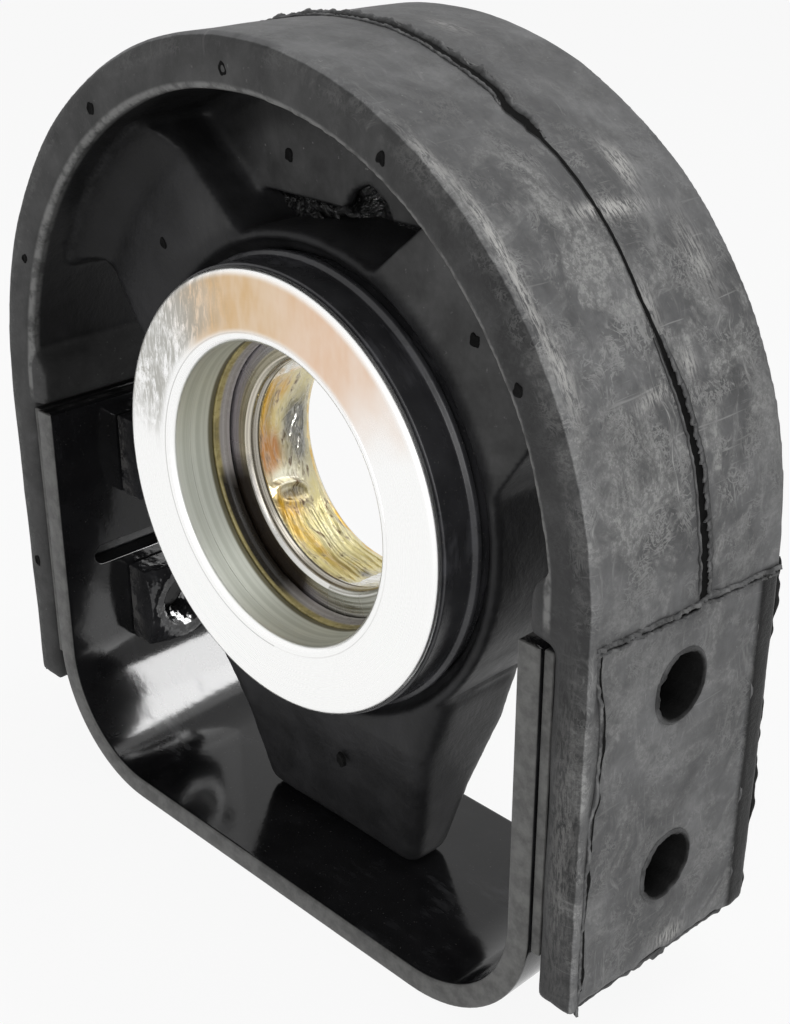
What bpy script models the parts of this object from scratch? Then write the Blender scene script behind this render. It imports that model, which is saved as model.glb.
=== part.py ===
"""Driveshaft centre bearing: a steel strap, a one-piece rubber mount and a sealed ball bearing.

Metres. X is the width, Y runs along the shaft with the front at -Y, Z is up from the strap's floor.
"""

import math

import bmesh
import bpy
from mathutils import Matrix

# Fits
CLEARANCE = 0.0003
RUNNING_GAP = 0.0005

# Rubber arch and legs
HUB_SIDE_ROOM = 0.0109
ARCH_HEIGHT = 0.116
RIM_THICKNESS = 0.012
MOUNT_DEPTH = 0.067
LEG_THICKNESS = 0.0097
LEG_FLOOR_ROOM = 0.0177
LEG_SLANT = 0.0047
SHOULDER_INSET = 0.0069
SHOULDER_TOP = 0.0098
SHOULDER_BOTTOM = -0.0036
SHOULDER_SLOPE = 0.001
RIM_ROUND = 0.0014

# Pads on the legs, with their bolt holes
PAD_DEPTH = 0.0008
PAD_FRONT_LIP = 0.0025
PAD_BACK_LIP = 0.0065
PAD_TOP_FRONT = -0.0021
PAD_TOP_BACK = -0.0052
BOLT_DROP = 0.0233
BOLT_SPACING = 0.0474
RUBBER_HOLE_RADIUS = 0.0083
STEEL_HOLE_RADIUS = 0.0085

# Strap and side plates
STRAP_THICKNESS = 0.0061
STRAP_WIDTH = 0.062
STRAP_TOP_GAP = 0.0012
STRAP_NOSE = 0.0017
STRAP_EDGE = 0.0007
SLOT_RISE = 0.0182
SLOT_LENGTH = 0.0458
SLOT_HEIGHT = 0.0062
PLATE_THICKNESS = 0.0025
PLATE_END = 0.0125
PLATE_FRONT_SETBACK = 0.001

# Weld nuts
NUT_SIZE = 0.024
NUT_HEIGHT = 0.011
NUT_OVERHANG = 0.003
NUT_BORE_RADIUS = 0.007
NUT_FACE_RADIUS = 0.0112
NUT_CHAMFER = 30.0

# Ball bearing
BORE_RADIUS = 0.030
RACE_WALL = 0.00416
RACE_DEPTH = 0.0035
BALL_RADIUS = 0.00794
BALL_GAP = 0.0004
BALL_COUNT = 10
RING_CHAMFER = 0.0009
CAGE_THICKNESS = 0.0044
CAGE_RAIL = 0.00096
CAGE_GAP = 0.0004
SEAL_THICKNESS = 0.0012
SEAL_RECESS = 0.0001
BEARING_DROP = 0.0045
BEARING_OFFSET = 0.0022

# Sleeve and covers
SLEEVE_WALL = 0.0013
BEAD_HEIGHT = 0.0013
BEAD_WIDTH = 0.0027
BEAD_SETBACK = 0.0001
SHOULDER_HEIGHT = 0.0038
SHOULDER_THICKNESS = 0.002
LIP_HEIGHT = 0.0017
LIP_THICKNESS = 0.0012
COVER_PROUD = 0.01175
COVER_THICKNESS = 0.00215
COVER_INSET = 0.0006
COVER_BORE = 0.0382
COVER_EDGE = 0.0009
FLANGE_WALL = 0.0022
SPIGOT_LENGTH = 0.0042
SPIGOT_WALL = 0.002
LIP_SEAL_WIDTH = 0.0044
LIP_SEAL_REACH = 0.0013
REAR_COVER_THICKNESS = 0.0021

# Rubber hub, wings, foot and web
HUB_WIDTH = 0.0312
GROOVE_GAP = 0.0021
GROOVE_DEPTH = 0.0036
FACE_RING = 0.0029
SPIDER_ROUND = 0.0018
WING_TOP_ANGLE = 68.5
WING_TOP_SLOPE = 40.4
WING_LOW_ANGLE = 14.3
WING_LOW_SLOPE = 56.0
WING_FILLET = 0.006
WING_ROOT = 0.005
COVE_RISE = 0.0115
COVE_WIDTH = 0.0125
COVE_INSET = 0.0004
FOOT_TOP_ANGLE = -41.3
FOOT_KNEE_HALF = 0.0395
FOOT_KNEE_DROP = 0.0675
FOOT_WAIST_HALF = 0.0353
FOOT_WAIST_DROP = 0.0819
FOOT_BASE_HALF = 0.0291
FOOT_WAIST_DEPTH = 0.0104
FOOT_BASE_DEPTH = 0.0073
FOOT_ROUND = 0.0045
WEB_THICKNESS = 0.004
WEB_GAP = 0.003
WEB_ROOT_TURN = 3.0
TEAR_LEFT = 0.0006
TEAR_WIDTH = 0.0148
TEAR_HEIGHT = 0.0071

# Faceting
ARC_STEP = 7.5
ARCH_STEP = 4.5
TURN_STEPS = 48
RACE_STEPS = 36
SMALL_STEPS = 20
BALL_STEPS = 12
POCKET_STEPS = 16
SHARP_ANGLE = math.radians(35)
BEVEL_ANGLE = math.radians(30)

# Radii and planes that follow from the sizes above, with Y and Z from the arch's centre
BALL_ROOM = BALL_RADIUS + BALL_GAP
PITCH_RADIUS = BORE_RADIUS + RACE_WALL + BALL_ROOM
RING_RADIUS = PITCH_RADIUS + BALL_ROOM + RACE_WALL
INNER_LAND = BORE_RADIUS + RACE_WALL + RACE_DEPTH
OUTER_LAND = RING_RADIUS - RACE_WALL - RACE_DEPTH
CAGE_HALF_WIDTH = BALL_ROOM + CAGE_RAIL
SEAL_INNER_FACE = CAGE_HALF_WIDTH + CAGE_GAP
SEAL_OUTER_FACE = SEAL_INNER_FACE + SEAL_THICKNESS
RING_HALF_WIDTH = SEAL_OUTER_FACE + SEAL_RECESS
SLEEVE_INNER = RING_RADIUS + CLEARANCE
SLEEVE_RADIUS = SLEEVE_INNER + SLEEVE_WALL
BEAD_RADIUS = SLEEVE_RADIUS + BEAD_HEIGHT
GROOVE_RADIUS = BEAD_RADIUS + GROOVE_GAP
HUB_RADIUS = GROOVE_RADIUS + FACE_RING
COVER_FACE = -HUB_WIDTH / 2 - COVER_PROUD
COVER_BACK = COVER_FACE + COVER_THICKNESS
COVER_RADIUS = SLEEVE_RADIUS - COVER_INSET
SPIGOT_END = COVER_BACK + SPIGOT_LENGTH
RING_FRONT = BEARING_OFFSET - RING_HALF_WIDTH
RING_BACK = BEARING_OFFSET + RING_HALF_WIDTH
LIP_SEAL_BACK = RING_FRONT - RUNNING_GAP
LIP_SEAL_FRONT = LIP_SEAL_BACK - LIP_SEAL_WIDTH
STEP_FRONT = RING_BACK + CLEARANCE
STEP_BACK = STEP_FRONT + SHOULDER_THICKNESS
REAR_COVER_FACE = STEP_BACK + CLEARANCE
REAR_COVER_BACK = REAR_COVER_FACE + REAR_COVER_THICKNESS
NUT_BACK = HUB_RADIUS + HUB_SIDE_ROOM + NUT_HEIGHT
STRAP_INNER = NUT_BACK + CLEARANCE
STRAP_OUTER = STRAP_INNER + STRAP_THICKNESS
PLATE_INNER = STRAP_OUTER + CLEARANCE
PLATE_OUTER = PLATE_INNER + PLATE_THICKNESS
LEG_INNER = PLATE_OUTER + CLEARANCE
ARCH_RADIUS = LEG_INNER + LEG_THICKNESS
RIM_INNER = ARCH_RADIUS - RIM_THICKNESS
SHOULDER_INNER = LEG_INNER - SHOULDER_INSET
SHOULDER_FOOT = SHOULDER_BOTTOM - SHOULDER_SLOPE
LEG_BACK_DROP = ARCH_HEIGHT - LEG_FLOOR_ROOM
LEG_FRONT_DROP = LEG_BACK_DROP - LEG_SLANT
STRAP_TOP = SHOULDER_FOOT - STRAP_TOP_GAP
STRAP_FRONT = -MOUNT_DEPTH / 2
STRAP_BACK = STRAP_FRONT + STRAP_WIDTH
FLOOR_TOP = STRAP_THICKNESS - ARCH_HEIGHT
LOW_BOLT_DROP = BOLT_DROP + BOLT_SPACING
STRAP_BEND = -FLOOR_TOP - LOW_BOLT_DROP - NUT_SIZE / 2 + NUT_OVERHANG
SLOT_HEIGHT_CENTRE = SLOT_RISE - LOW_BOLT_DROP
WEB_EDGE = HUB_RADIUS - BEARING_DROP + WEB_GAP
BOLT_HEIGHTS = {"upper": -BOLT_DROP, "lower": -LOW_BOLT_DROP}
SIDES = {"left": -1, "right": 1}


def new_collection(name):
    """A collection in the scene, for the parts or for the cutters."""
    collection = bpy.data.collections.new(name)
    bpy.context.scene.collection.children.link(collection)
    return collection


def clear_scene():
    """Start from an empty scene."""
    for old in list(bpy.data.objects):
        bpy.data.objects.remove(old, do_unlink=True)
    for old in list(bpy.data.collections):
        bpy.data.collections.remove(old)


def material(name, colour, roughness, metallic):
    """A plain Principled material."""
    surface = bpy.data.materials.new(name)
    surface.use_nodes = True
    shader = surface.node_tree.nodes["Principled BSDF"]
    shader.inputs["Base Color"].default_value = (*colour, 1.0)
    shader.inputs["Roughness"].default_value = roughness
    shader.inputs["Metallic"].default_value = metallic
    surface.diffuse_color = (*colour, 1.0)
    return surface


def mount_rubber():
    return material("mount_rubber", (0.035, 0.035, 0.037), 0.62, 0.0)


def black_paint():
    return material("black_paint", (0.012, 0.012, 0.014), 0.18, 0.0)


def bright_steel():
    return material("bright_steel", (0.62, 0.60, 0.58), 0.22, 1.0)


def bearing_steel():
    return material("bearing_steel", (0.50, 0.49, 0.48), 0.15, 1.0)


def olive_rubber():
    return material("olive_rubber", (0.17, 0.15, 0.06), 0.5, 0.0)


def seal_rubber():
    return material("seal_rubber", (0.02, 0.02, 0.02), 0.55, 0.0)


def cage_plastic():
    return material("cage_plastic", (0.55, 0.47, 0.30), 0.5, 0.0)


def add_object(name, mesh, collection, surface=None):
    """Link a mesh as a new object, with its round faces shaded smooth."""
    mesh.shade_smooth()
    mesh.set_sharp_from_angle(angle=SHARP_ANGLE)
    made = bpy.data.objects.new(name, mesh)
    collection.objects.link(made)
    if surface:
        mesh.materials.clear()
        mesh.materials.append(surface)
    return made


def baked(source, name, collection, surface=None):
    """Turn a curve, or a mesh with modifiers, into a plain mesh object in the same place."""
    bpy.context.view_layer.update()
    seen = source.evaluated_get(bpy.context.evaluated_depsgraph_get())
    mesh = bpy.data.meshes.new_from_object(seen)
    shape = bmesh.new()
    shape.from_mesh(mesh)
    bmesh.ops.remove_doubles(shape, verts=shape.verts, dist=1e-6)
    bmesh.ops.dissolve_limit(shape, angle_limit=1e-3, verts=shape.verts, edges=shape.edges)
    shape.to_mesh(mesh)
    shape.free()
    made = add_object(name, mesh, collection, surface)
    made.matrix_world = source.matrix_world
    bpy.data.objects.remove(source, do_unlink=True)
    return made


def softened(source, width, segments):
    """Round the sharp edges of an object, and keep the result as its mesh."""
    bevel = source.modifiers.new("rounded_edges", "BEVEL")
    bevel.width = width
    bevel.segments = segments
    bevel.limit_method = "ANGLE"
    bevel.angle_limit = BEVEL_ANGLE
    bevel.use_clamp_overlap = False
    name = source.name
    source.name = name + "_sharp"
    surface = source.data.materials[0] if source.data.materials else None
    return baked(source, name, source.users_collection[0], surface)


def joined(body, tool, operation):
    """A Boolean between two closed solids, left as a modifier."""
    step = body.modifiers.new(tool.name, "BOOLEAN")
    step.operation = operation
    step.object = tool
    step.solver = "EXACT"


def cut(body, *tools):
    for tool in tools:
        joined(body, tool, "DIFFERENCE")


def fused(body, *tools):
    for tool in tools:
        joined(body, tool, "UNION")


def arc(centre, radius, start, end, step=ARC_STEP):
    """Points along an arc in a plane, from one angle to the other in degrees."""
    count = max(1, round(abs(end - start) / step))
    points = []
    for index in range(count + 1):
        angle = math.radians(start + (end - start) * index / count)
        points.append((centre[0] + radius * math.cos(angle), centre[1] + radius * math.sin(angle)))
    return points


def outline(name, points, low, high, collection, surface=None, along="Y"):
    """A flat outline extruded along Y (its points are X, Z) or along X (its points are Y, Z)."""
    curve = bpy.data.curves.new(name, "CURVE")
    curve.dimensions = "2D"
    curve.fill_mode = "BOTH"
    curve.extrude = (high - low) / 2
    spline = curve.splines.new("POLY")
    spline.points.add(len(points) - 1)
    for knot, (across, up) in zip(spline.points, points):
        knot.co = (across, up, 0, 1)
    spline.use_cyclic_u = True
    flat = bpy.data.objects.new(name + "_curve", curve)
    bpy.context.scene.collection.objects.link(flat)
    middle = (low + high) / 2
    if along == "Y":
        turn = Matrix.Rotation(math.pi / 2, 4, "X")
        flat.matrix_world = Matrix.Translation((0, middle, ARCH_HEIGHT)) @ turn
    else:
        turn = Matrix(((0, 0, 1, 0), (1, 0, 0, 0), (0, 1, 0, 0), (0, 0, 0, 1)))
        flat.matrix_world = Matrix.Translation((middle, 0, ARCH_HEIGHT)) @ turn
    return baked(flat, name, collection, surface)


def turned(name, profile, steps, collection, surface=None, centre_drop=BEARING_DROP, open_ends=False):
    """A shape turned about a Y axis from (radius, y) points; open ends lie on the axis."""
    pairs = zip(profile, profile[1:] + profile[:1])
    if sum(near[0] * far[1] - far[0] * near[1] for near, far in pairs) > 0:
        profile = profile[::-1]
    mesh = bpy.data.meshes.new(name)
    shape = bmesh.new()
    knots = [shape.verts.new((radius, 0, along)) for radius, along in profile]
    for near, far in zip(knots, knots[1:]):
        shape.edges.new((near, far))
    if not open_ends:
        shape.edges.new((knots[-1], knots[0]))
    shape.to_mesh(mesh)
    shape.free()
    source = bpy.data.objects.new(name + "_profile", mesh)
    bpy.context.scene.collection.objects.link(source)
    source.rotation_euler.x = -math.pi / 2
    source.location.z = ARCH_HEIGHT - centre_drop
    screw = source.modifiers.new("turn", "SCREW")
    screw.steps = steps
    screw.render_steps = steps
    screw.merge_threshold = 1e-6
    screw.use_merge_vertices = True
    screw.use_smooth_shade = True
    return baked(source, name, collection, surface)


def box(name, low, high, collection, surface=None):
    """A box between two corners."""
    mesh = bpy.data.meshes.new(name)
    shape = bmesh.new()
    bmesh.ops.create_cube(shape, size=1.0)
    size = [top - bottom for bottom, top in zip(low, high)]
    bmesh.ops.scale(shape, verts=shape.verts, vec=size)
    shape.to_mesh(mesh)
    shape.free()
    made = add_object(name, mesh, collection, surface)
    made.location = [(bottom + top) / 2 for bottom, top in zip(low, high)]
    made.location.z += ARCH_HEIGHT
    return made


def cross_pin(name, radius, low, high, height, steps, collection):
    """A cylinder along X, for the bolt holes."""
    mesh = bpy.data.meshes.new(name)
    shape = bmesh.new()
    bmesh.ops.create_cone(shape, cap_ends=True, segments=steps, radius1=radius, radius2=radius,
                          depth=abs(high - low))
    shape.to_mesh(mesh)
    shape.free()
    made = add_object(name, mesh, collection)
    made.rotation_euler.y = math.pi / 2
    made.location = ((low + high) / 2, 0, ARCH_HEIGHT + height)
    return made


def reach(point, slope, radius):
    """How far a line from a point goes before it meets a circle about the arch's centre."""
    run = (math.cos(math.radians(slope)), math.sin(math.radians(slope)))
    along = point[0] * run[0] + point[1] * run[1]
    return -along + math.sqrt(along ** 2 - point[0] ** 2 - point[1] ** 2 + radius ** 2)


def on_hub(angle, inset=0.0):
    """A point on the hub's side, or that much inside it."""
    radians = math.radians(angle)
    radius = HUB_RADIUS - inset
    return (radius * math.cos(radians), radius * math.sin(radians) - BEARING_DROP)


def wing_top(inset=0.0):
    """The upper side of a wing, from the hub to its root in the arch."""
    run = (math.cos(math.radians(WING_TOP_SLOPE)), math.sin(math.radians(WING_TOP_SLOPE)))
    start = on_hub(WING_TOP_ANGLE)
    start = (start[0] + inset * run[1], start[1] - inset * run[0])
    distance = reach(start, WING_TOP_SLOPE, RIM_INNER + WING_ROOT)
    return start, (start[0] + distance * run[0], start[1] + distance * run[1])


def wing_points(inset=0.0):
    """One wing's sides, from the hub's top round the arch and back to the hub's side."""
    top, top_end = wing_top(inset)
    run = (math.cos(math.radians(WING_LOW_SLOPE)), math.sin(math.radians(WING_LOW_SLOPE)))
    low = on_hub(WING_LOW_ANGLE)
    low = (low[0] - inset * run[1], low[1] + inset * run[0])
    side = (low[0] + WING_FILLET * run[1], low[1] - WING_FILLET * run[0])
    distance = reach(side, WING_LOW_SLOPE, RIM_INNER - WING_FILLET)
    centre = (side[0] + distance * run[0], side[1] + distance * run[1])
    wall_angle = math.degrees(math.atan2(centre[1], centre[0]))
    fillet = arc(centre, WING_FILLET, wall_angle, WING_LOW_SLOPE + 90, 18)
    top_angle = math.degrees(math.atan2(top_end[1], top_end[0]))
    return [top] + arc((0, 0), RIM_INNER + WING_ROOT, top_angle, wall_angle) + fillet + [low]


def mirrored(points):
    """The same points on the other side, in the order that carries on round the outline."""
    return [(-across, up) for across, up in reversed(points)]


def spider_points(inset=0.0):
    """The hub and both wings as one outline."""
    wing = wing_points(inset)
    bottom = arc((0, -BEARING_DROP), HUB_RADIUS, WING_LOW_ANGLE, -180 - WING_LOW_ANGLE)[1:-1]
    top = arc((0, -BEARING_DROP), HUB_RADIUS, 180 - WING_TOP_ANGLE, WING_TOP_ANGLE)[1:-1]
    return wing + bottom + mirrored(wing) + top


def band_points():
    """The arch, its legs and the shoulders over the strap's ends."""
    rise = math.degrees(math.asin(SHOULDER_TOP / RIM_INNER))
    half = [
        (ARCH_RADIUS, -LEG_BACK_DROP),
        (LEG_INNER, -LEG_BACK_DROP),
        (LEG_INNER, SHOULDER_FOOT),
        (SHOULDER_INNER, SHOULDER_BOTTOM),
        (SHOULDER_INNER, SHOULDER_TOP - SHOULDER_INSET / 2),
        ((SHOULDER_INNER + RIM_INNER) / 2, SHOULDER_TOP),
    ]
    inner = arc((0, 0), RIM_INNER, rise, 180 - rise, ARCH_STEP)
    outer = arc((0, 0), ARCH_RADIUS, 180, 0, ARCH_STEP)
    return half + inner + mirrored(half) + outer


def foot_points():
    """The foot, from inside the hub down to the strap's floor."""
    half = [
        on_hub(FOOT_TOP_ANGLE, FACE_RING),
        on_hub(FOOT_TOP_ANGLE, -CLEARANCE),
        (FOOT_KNEE_HALF, -BEARING_DROP - FOOT_KNEE_DROP),
        (FOOT_WAIST_HALF, -BEARING_DROP - FOOT_WAIST_DROP),
        (FOOT_BASE_HALF, FLOOR_TOP + CLEARANCE),
    ]
    return half + mirrored(half)


def foot_side_points():
    """The foot seen from the side: it thins from the hub down to the floor."""
    half = [
        (HUB_WIDTH / 2 - COVE_INSET, on_hub(FOOT_TOP_ANGLE, 2 * FACE_RING)[1]),
        (HUB_WIDTH / 2 - COVE_INSET, -BEARING_DROP - HUB_RADIUS + SPIDER_ROUND),
        (FOOT_WAIST_DEPTH, -BEARING_DROP - FOOT_WAIST_DROP),
        (FOOT_BASE_DEPTH, FLOOR_TOP + CLEARANCE),
    ]
    return half + mirrored(half)


def web_points():
    """The thin web over the hub, torn at its lower edge."""
    top, top_end = wing_top()
    low_corner = top[0] + (WEB_EDGE - top[1]) / math.tan(math.radians(WING_TOP_SLOPE)) + WING_ROOT
    root = RIM_INNER + RIM_THICKNESS / 4
    top_angle = math.degrees(math.atan2(top_end[1], top_end[0])) - WEB_ROOT_TURN
    tear = [
        (TEAR_LEFT, WEB_EDGE),
        (TEAR_LEFT + 0.1 * TEAR_WIDTH, WEB_EDGE + 0.6 * TEAR_HEIGHT),
        (TEAR_LEFT + 0.55 * TEAR_WIDTH, WEB_EDGE + TEAR_HEIGHT),
        (TEAR_LEFT + 0.96 * TEAR_WIDTH, WEB_EDGE + 0.45 * TEAR_HEIGHT),
        (TEAR_LEFT + TEAR_WIDTH, WEB_EDGE),
    ]
    hanging = [(-low_corner, WEB_EDGE)] + tear + [(low_corner, WEB_EDGE)]
    return hanging + arc((0, 0), root, top_angle, 180 - top_angle)


def cove_profile():
    """A ring whose hollow curve runs from the wings' faces out to the arch's front and back."""
    face = HUB_WIDTH / 2 - COVE_INSET
    curve = arc((RIM_INNER - COVE_WIDTH, face + COVE_RISE), 1.0, 0, -90, 18)
    front = []
    for across, up in curve:
        share_across = across - (RIM_INNER - COVE_WIDTH)
        share_up = up - (face + COVE_RISE)
        front.append((RIM_INNER + (share_across - 1) * COVE_WIDTH, face + (share_up + 1) * COVE_RISE))
    outer = RIM_INNER + RIM_THICKNESS / 2
    rear = [(radius, -along) for radius, along in reversed(front)]
    return [(outer, front[0][1])] + front + rear + [(outer, rear[-1][1])]


def hub_bore_profile():
    """The hub's bore with a groove round the sleeve at the front and the back."""
    face = HUB_WIDTH / 2
    bore = SLEEVE_RADIUS + CLEARANCE
    rolled = FACE_RING / 3
    half = [
        (0, face + CLEARANCE),
        (GROOVE_RADIUS + rolled, face + CLEARANCE),
        (GROOVE_RADIUS, face - 1.5 * rolled),
        (GROOVE_RADIUS, face - GROOVE_DEPTH),
        (bore, face - GROOVE_DEPTH),
    ]
    return half + [(radius, -along) for radius, along in reversed(half)]


def leg_cutters(side, sign, cutters):
    """The pad's recess and the bolt holes of one leg."""
    low, high = sorted((sign * (ARCH_RADIUS - PAD_DEPTH), sign * (ARCH_RADIUS + PAD_DEPTH)))
    front = -MOUNT_DEPTH / 2 + PAD_FRONT_LIP
    back = MOUNT_DEPTH / 2 - PAD_BACK_LIP
    floor = -LEG_BACK_DROP - CLEARANCE
    pad = [(front, PAD_TOP_FRONT), (back, PAD_TOP_BACK), (back, floor), (front, floor)]
    tools = [outline(f"pad_{side}", pad, low, high, cutters, along="X")]
    low, high = sign * PLATE_INNER, sign * (ARCH_RADIUS + PAD_DEPTH)
    for level, height in BOLT_HEIGHTS.items():
        name = f"rubber_hole_{side}_{level}"
        tools.append(cross_pin(name, RUBBER_HOLE_RADIUS, low, high, height, SMALL_STEPS, cutters))
    return tools


def rubber_mount(parts, cutters, surface):
    """One moulding: arch, legs, hub, wings, foot and web."""
    half_depth = MOUNT_DEPTH / 2
    band = outline("rubber_mount", band_points(), -half_depth, half_depth, parts, surface)
    band = softened(band, RIM_ROUND, 2)
    spider = outline("spider", spider_points(), -HUB_WIDTH / 2, HUB_WIDTH / 2, cutters)
    spider = softened(spider, SPIDER_ROUND, 2)
    foot = outline("foot", foot_points(), -HUB_WIDTH / 2, HUB_WIDTH / 2, cutters)
    foot_side = outline("foot_side", foot_side_points(), -HUB_RADIUS, HUB_RADIUS, cutters, along="X")
    joined(foot, foot_side, "INTERSECT")
    foot = softened(baked(foot, "foot_tapered", cutters), FOOT_ROUND, 3)
    coves = turned("coves", cove_profile(), TURN_STEPS, cutters, centre_drop=0)
    reach_depth = HUB_WIDTH / 2 + 2 * COVE_RISE
    wings_tall = outline("wings_tall", spider_points(COVE_INSET), -reach_depth, reach_depth, cutters)
    joined(coves, wings_tall, "INTERSECT")
    web = outline("web", web_points(), -WEB_THICKNESS / 2, WEB_THICKNESS / 2, cutters)
    fused(band, spider, foot, coves, web)
    bore = turned("hub_bore", hub_bore_profile(), TURN_STEPS, cutters, open_ends=True)
    ends = [
        (-half_depth - CLEARANCE, -LEG_FRONT_DROP),
        (half_depth + CLEARANCE, -LEG_BACK_DROP),
        (half_depth + CLEARANCE, -LEG_BACK_DROP - RIM_THICKNESS),
        (-half_depth - CLEARANCE, -LEG_BACK_DROP - RIM_THICKNESS),
    ]
    cut(band, bore)
    for side, sign in SIDES.items():
        low, high = sorted((sign * STRAP_OUTER, sign * (ARCH_RADIUS + RIM_THICKNESS)))
        cut(band, outline(f"leg_end_{side}", ends, low, high, cutters, along="X"))
        cut(band, *leg_cutters(side, sign, cutters))
    return band


def strap_points():
    """The strap's U, with noses on its ends."""
    centre_across = STRAP_INNER - STRAP_BEND
    centre_up = FLOOR_TOP + STRAP_BEND
    outer = arc((centre_across, centre_up), STRAP_BEND + STRAP_THICKNESS, 0, -90, 9)
    inner = arc((centre_across, centre_up), STRAP_BEND, -90, 0, 9)
    nose = [(STRAP_INNER, STRAP_TOP - STRAP_NOSE), (STRAP_INNER + STRAP_NOSE, STRAP_TOP),
            (STRAP_OUTER - STRAP_NOSE, STRAP_TOP), (STRAP_OUTER, STRAP_TOP - STRAP_NOSE)]
    return nose + outer + mirrored(outer) + mirrored(nose) + mirrored(inner) + inner


def slot_points():
    """A slot with round ends, seen from the side."""
    radius = SLOT_HEIGHT / 2
    straight = SLOT_LENGTH / 2 - radius
    front_end = arc((straight, SLOT_HEIGHT_CENTRE), radius, -90, 90, 30)
    return front_end + arc((-straight, SLOT_HEIGHT_CENTRE), radius, 90, 270, 30)


def strap(parts, cutters, surface):
    """The flat bar bent to a U, with bolt holes and a slot in each leg."""
    bar = outline("strap", strap_points(), STRAP_FRONT, STRAP_BACK, parts, surface)
    bar = softened(bar, STRAP_EDGE, 1)
    for side, sign in SIDES.items():
        low, high = sorted((sign * (STRAP_INNER - CLEARANCE), sign * (STRAP_OUTER + CLEARANCE)))
        cut(bar, outline(f"slot_{side}", slot_points(), low, high, cutters, along="X"))
        for level, height in BOLT_HEIGHTS.items():
            cut(bar, cross_pin(f"strap_hole_{side}_{level}", STEEL_HOLE_RADIUS, low, high, height,
                               SMALL_STEPS, cutters))
    return bar


def side_plate(side, sign, parts, cutters, surface):
    """The thin plate between a rubber leg and the strap's leg."""
    inner, outer = sorted((sign * PLATE_INNER, sign * PLATE_OUTER))
    low = (inner, STRAP_FRONT + PLATE_FRONT_SETBACK, -LOW_BOLT_DROP - PLATE_END)
    high = (outer, STRAP_BACK, SHOULDER_FOOT - RIM_ROUND)
    plate = box(f"side_plate_{side}", low, high, parts, surface)
    for level, height in BOLT_HEIGHTS.items():
        cut(plate, cross_pin(f"plate_hole_{side}_{level}", STEEL_HOLE_RADIUS, low[0] - CLEARANCE,
                             high[0] + CLEARANCE, height, SMALL_STEPS, cutters))
    return plate


def weld_nut(side, sign, level, height, parts, cutters, surface):
    """A square weld nut on the inside of the strap, chamfered round its face."""
    half = NUT_SIZE / 2
    back, face = sign * NUT_BACK, sign * (NUT_BACK - NUT_HEIGHT)
    low = (min(back, face), -half, height - half)
    high = (max(back, face), half, height + half)
    nut = box(f"weld_nut_{side}_{level}", low, high, parts, surface)
    corner = half * math.sqrt(2) + CLEARANCE
    fall = (corner - NUT_FACE_RADIUS) * math.tan(math.radians(NUT_CHAMFER))
    profile = [(0, NUT_HEIGHT), (NUT_FACE_RADIUS, NUT_HEIGHT), (corner, NUT_HEIGHT - fall),
               (corner, -CLEARANCE), (0, -CLEARANCE)]
    round_off = turned(f"nut_round_{side}_{level}", profile, SMALL_STEPS, cutters, open_ends=True)
    round_off.rotation_euler = (0, -sign * math.pi / 2, 0)
    round_off.location = (back, 0, ARCH_HEIGHT + height)
    joined(nut, round_off, "INTERSECT")
    cut(nut, cross_pin(f"nut_bore_{side}_{level}", NUT_BORE_RADIUS, low[0] - CLEARANCE,
                       high[0] + CLEARANCE, height, SMALL_STEPS, cutters))
    return nut


def carrier_sleeve(parts, surface):
    """The black sleeve in the hub, with a bead at the hub's face and a shoulder behind the bearing."""
    front = COVER_BACK + CLEARANCE
    bead_front = -HUB_WIDTH / 2 + BEAD_SETBACK - BEAD_WIDTH / 3
    lip_front = REAR_COVER_BACK + CLEARANCE
    lip_back = lip_front + LIP_THICKNESS
    profile = [
        (SLEEVE_RADIUS, front),
        (SLEEVE_RADIUS, bead_front),
        (BEAD_RADIUS, bead_front + BEAD_WIDTH / 4),
        (BEAD_RADIUS, bead_front + 3 * BEAD_WIDTH / 4),
        (SLEEVE_RADIUS, bead_front + BEAD_WIDTH),
        (SLEEVE_RADIUS, lip_back - SLEEVE_WALL / 2),
        (SLEEVE_RADIUS - SLEEVE_WALL / 2, lip_back),
        (SLEEVE_INNER - LIP_HEIGHT, lip_back),
        (SLEEVE_INNER - LIP_HEIGHT, lip_front),
        (SLEEVE_INNER, lip_front),
        (SLEEVE_INNER, STEP_BACK),
        (SLEEVE_INNER - SHOULDER_HEIGHT, STEP_BACK),
        (SLEEVE_INNER - SHOULDER_HEIGHT, STEP_FRONT),
        (SLEEVE_INNER, STEP_FRONT),
        (SLEEVE_INNER, front),
    ]
    return turned("carrier_sleeve", profile, TURN_STEPS, parts, surface)


def front_cover(parts, surface):
    """The bright ring: a plate, a spigot in the sleeve and a flanged bore."""
    flange_end = LIP_SEAL_FRONT - CLEARANCE
    flange_radius = COVER_BORE + FLANGE_WALL
    spigot_radius = SLEEVE_INNER - CLEARANCE
    profile = [
        (COVER_BORE, flange_end),
        (COVER_BORE, COVER_FACE + 1.6 * COVER_EDGE),
        (COVER_BORE + 0.5 * COVER_EDGE, COVER_FACE + 0.5 * COVER_EDGE),
        (COVER_BORE + 1.6 * COVER_EDGE, COVER_FACE),
        (COVER_RADIUS - COVER_EDGE, COVER_FACE),
        (COVER_RADIUS, COVER_FACE + COVER_EDGE),
        (COVER_RADIUS, COVER_BACK),
        (spigot_radius, COVER_BACK),
        (spigot_radius, SPIGOT_END),
        (spigot_radius - SPIGOT_WALL, SPIGOT_END),
        (spigot_radius - SPIGOT_WALL, COVER_BACK),
        (flange_radius, COVER_BACK),
        (flange_radius, flange_end),
    ]
    return turned("front_cover", profile, TURN_STEPS, parts, surface)


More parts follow.
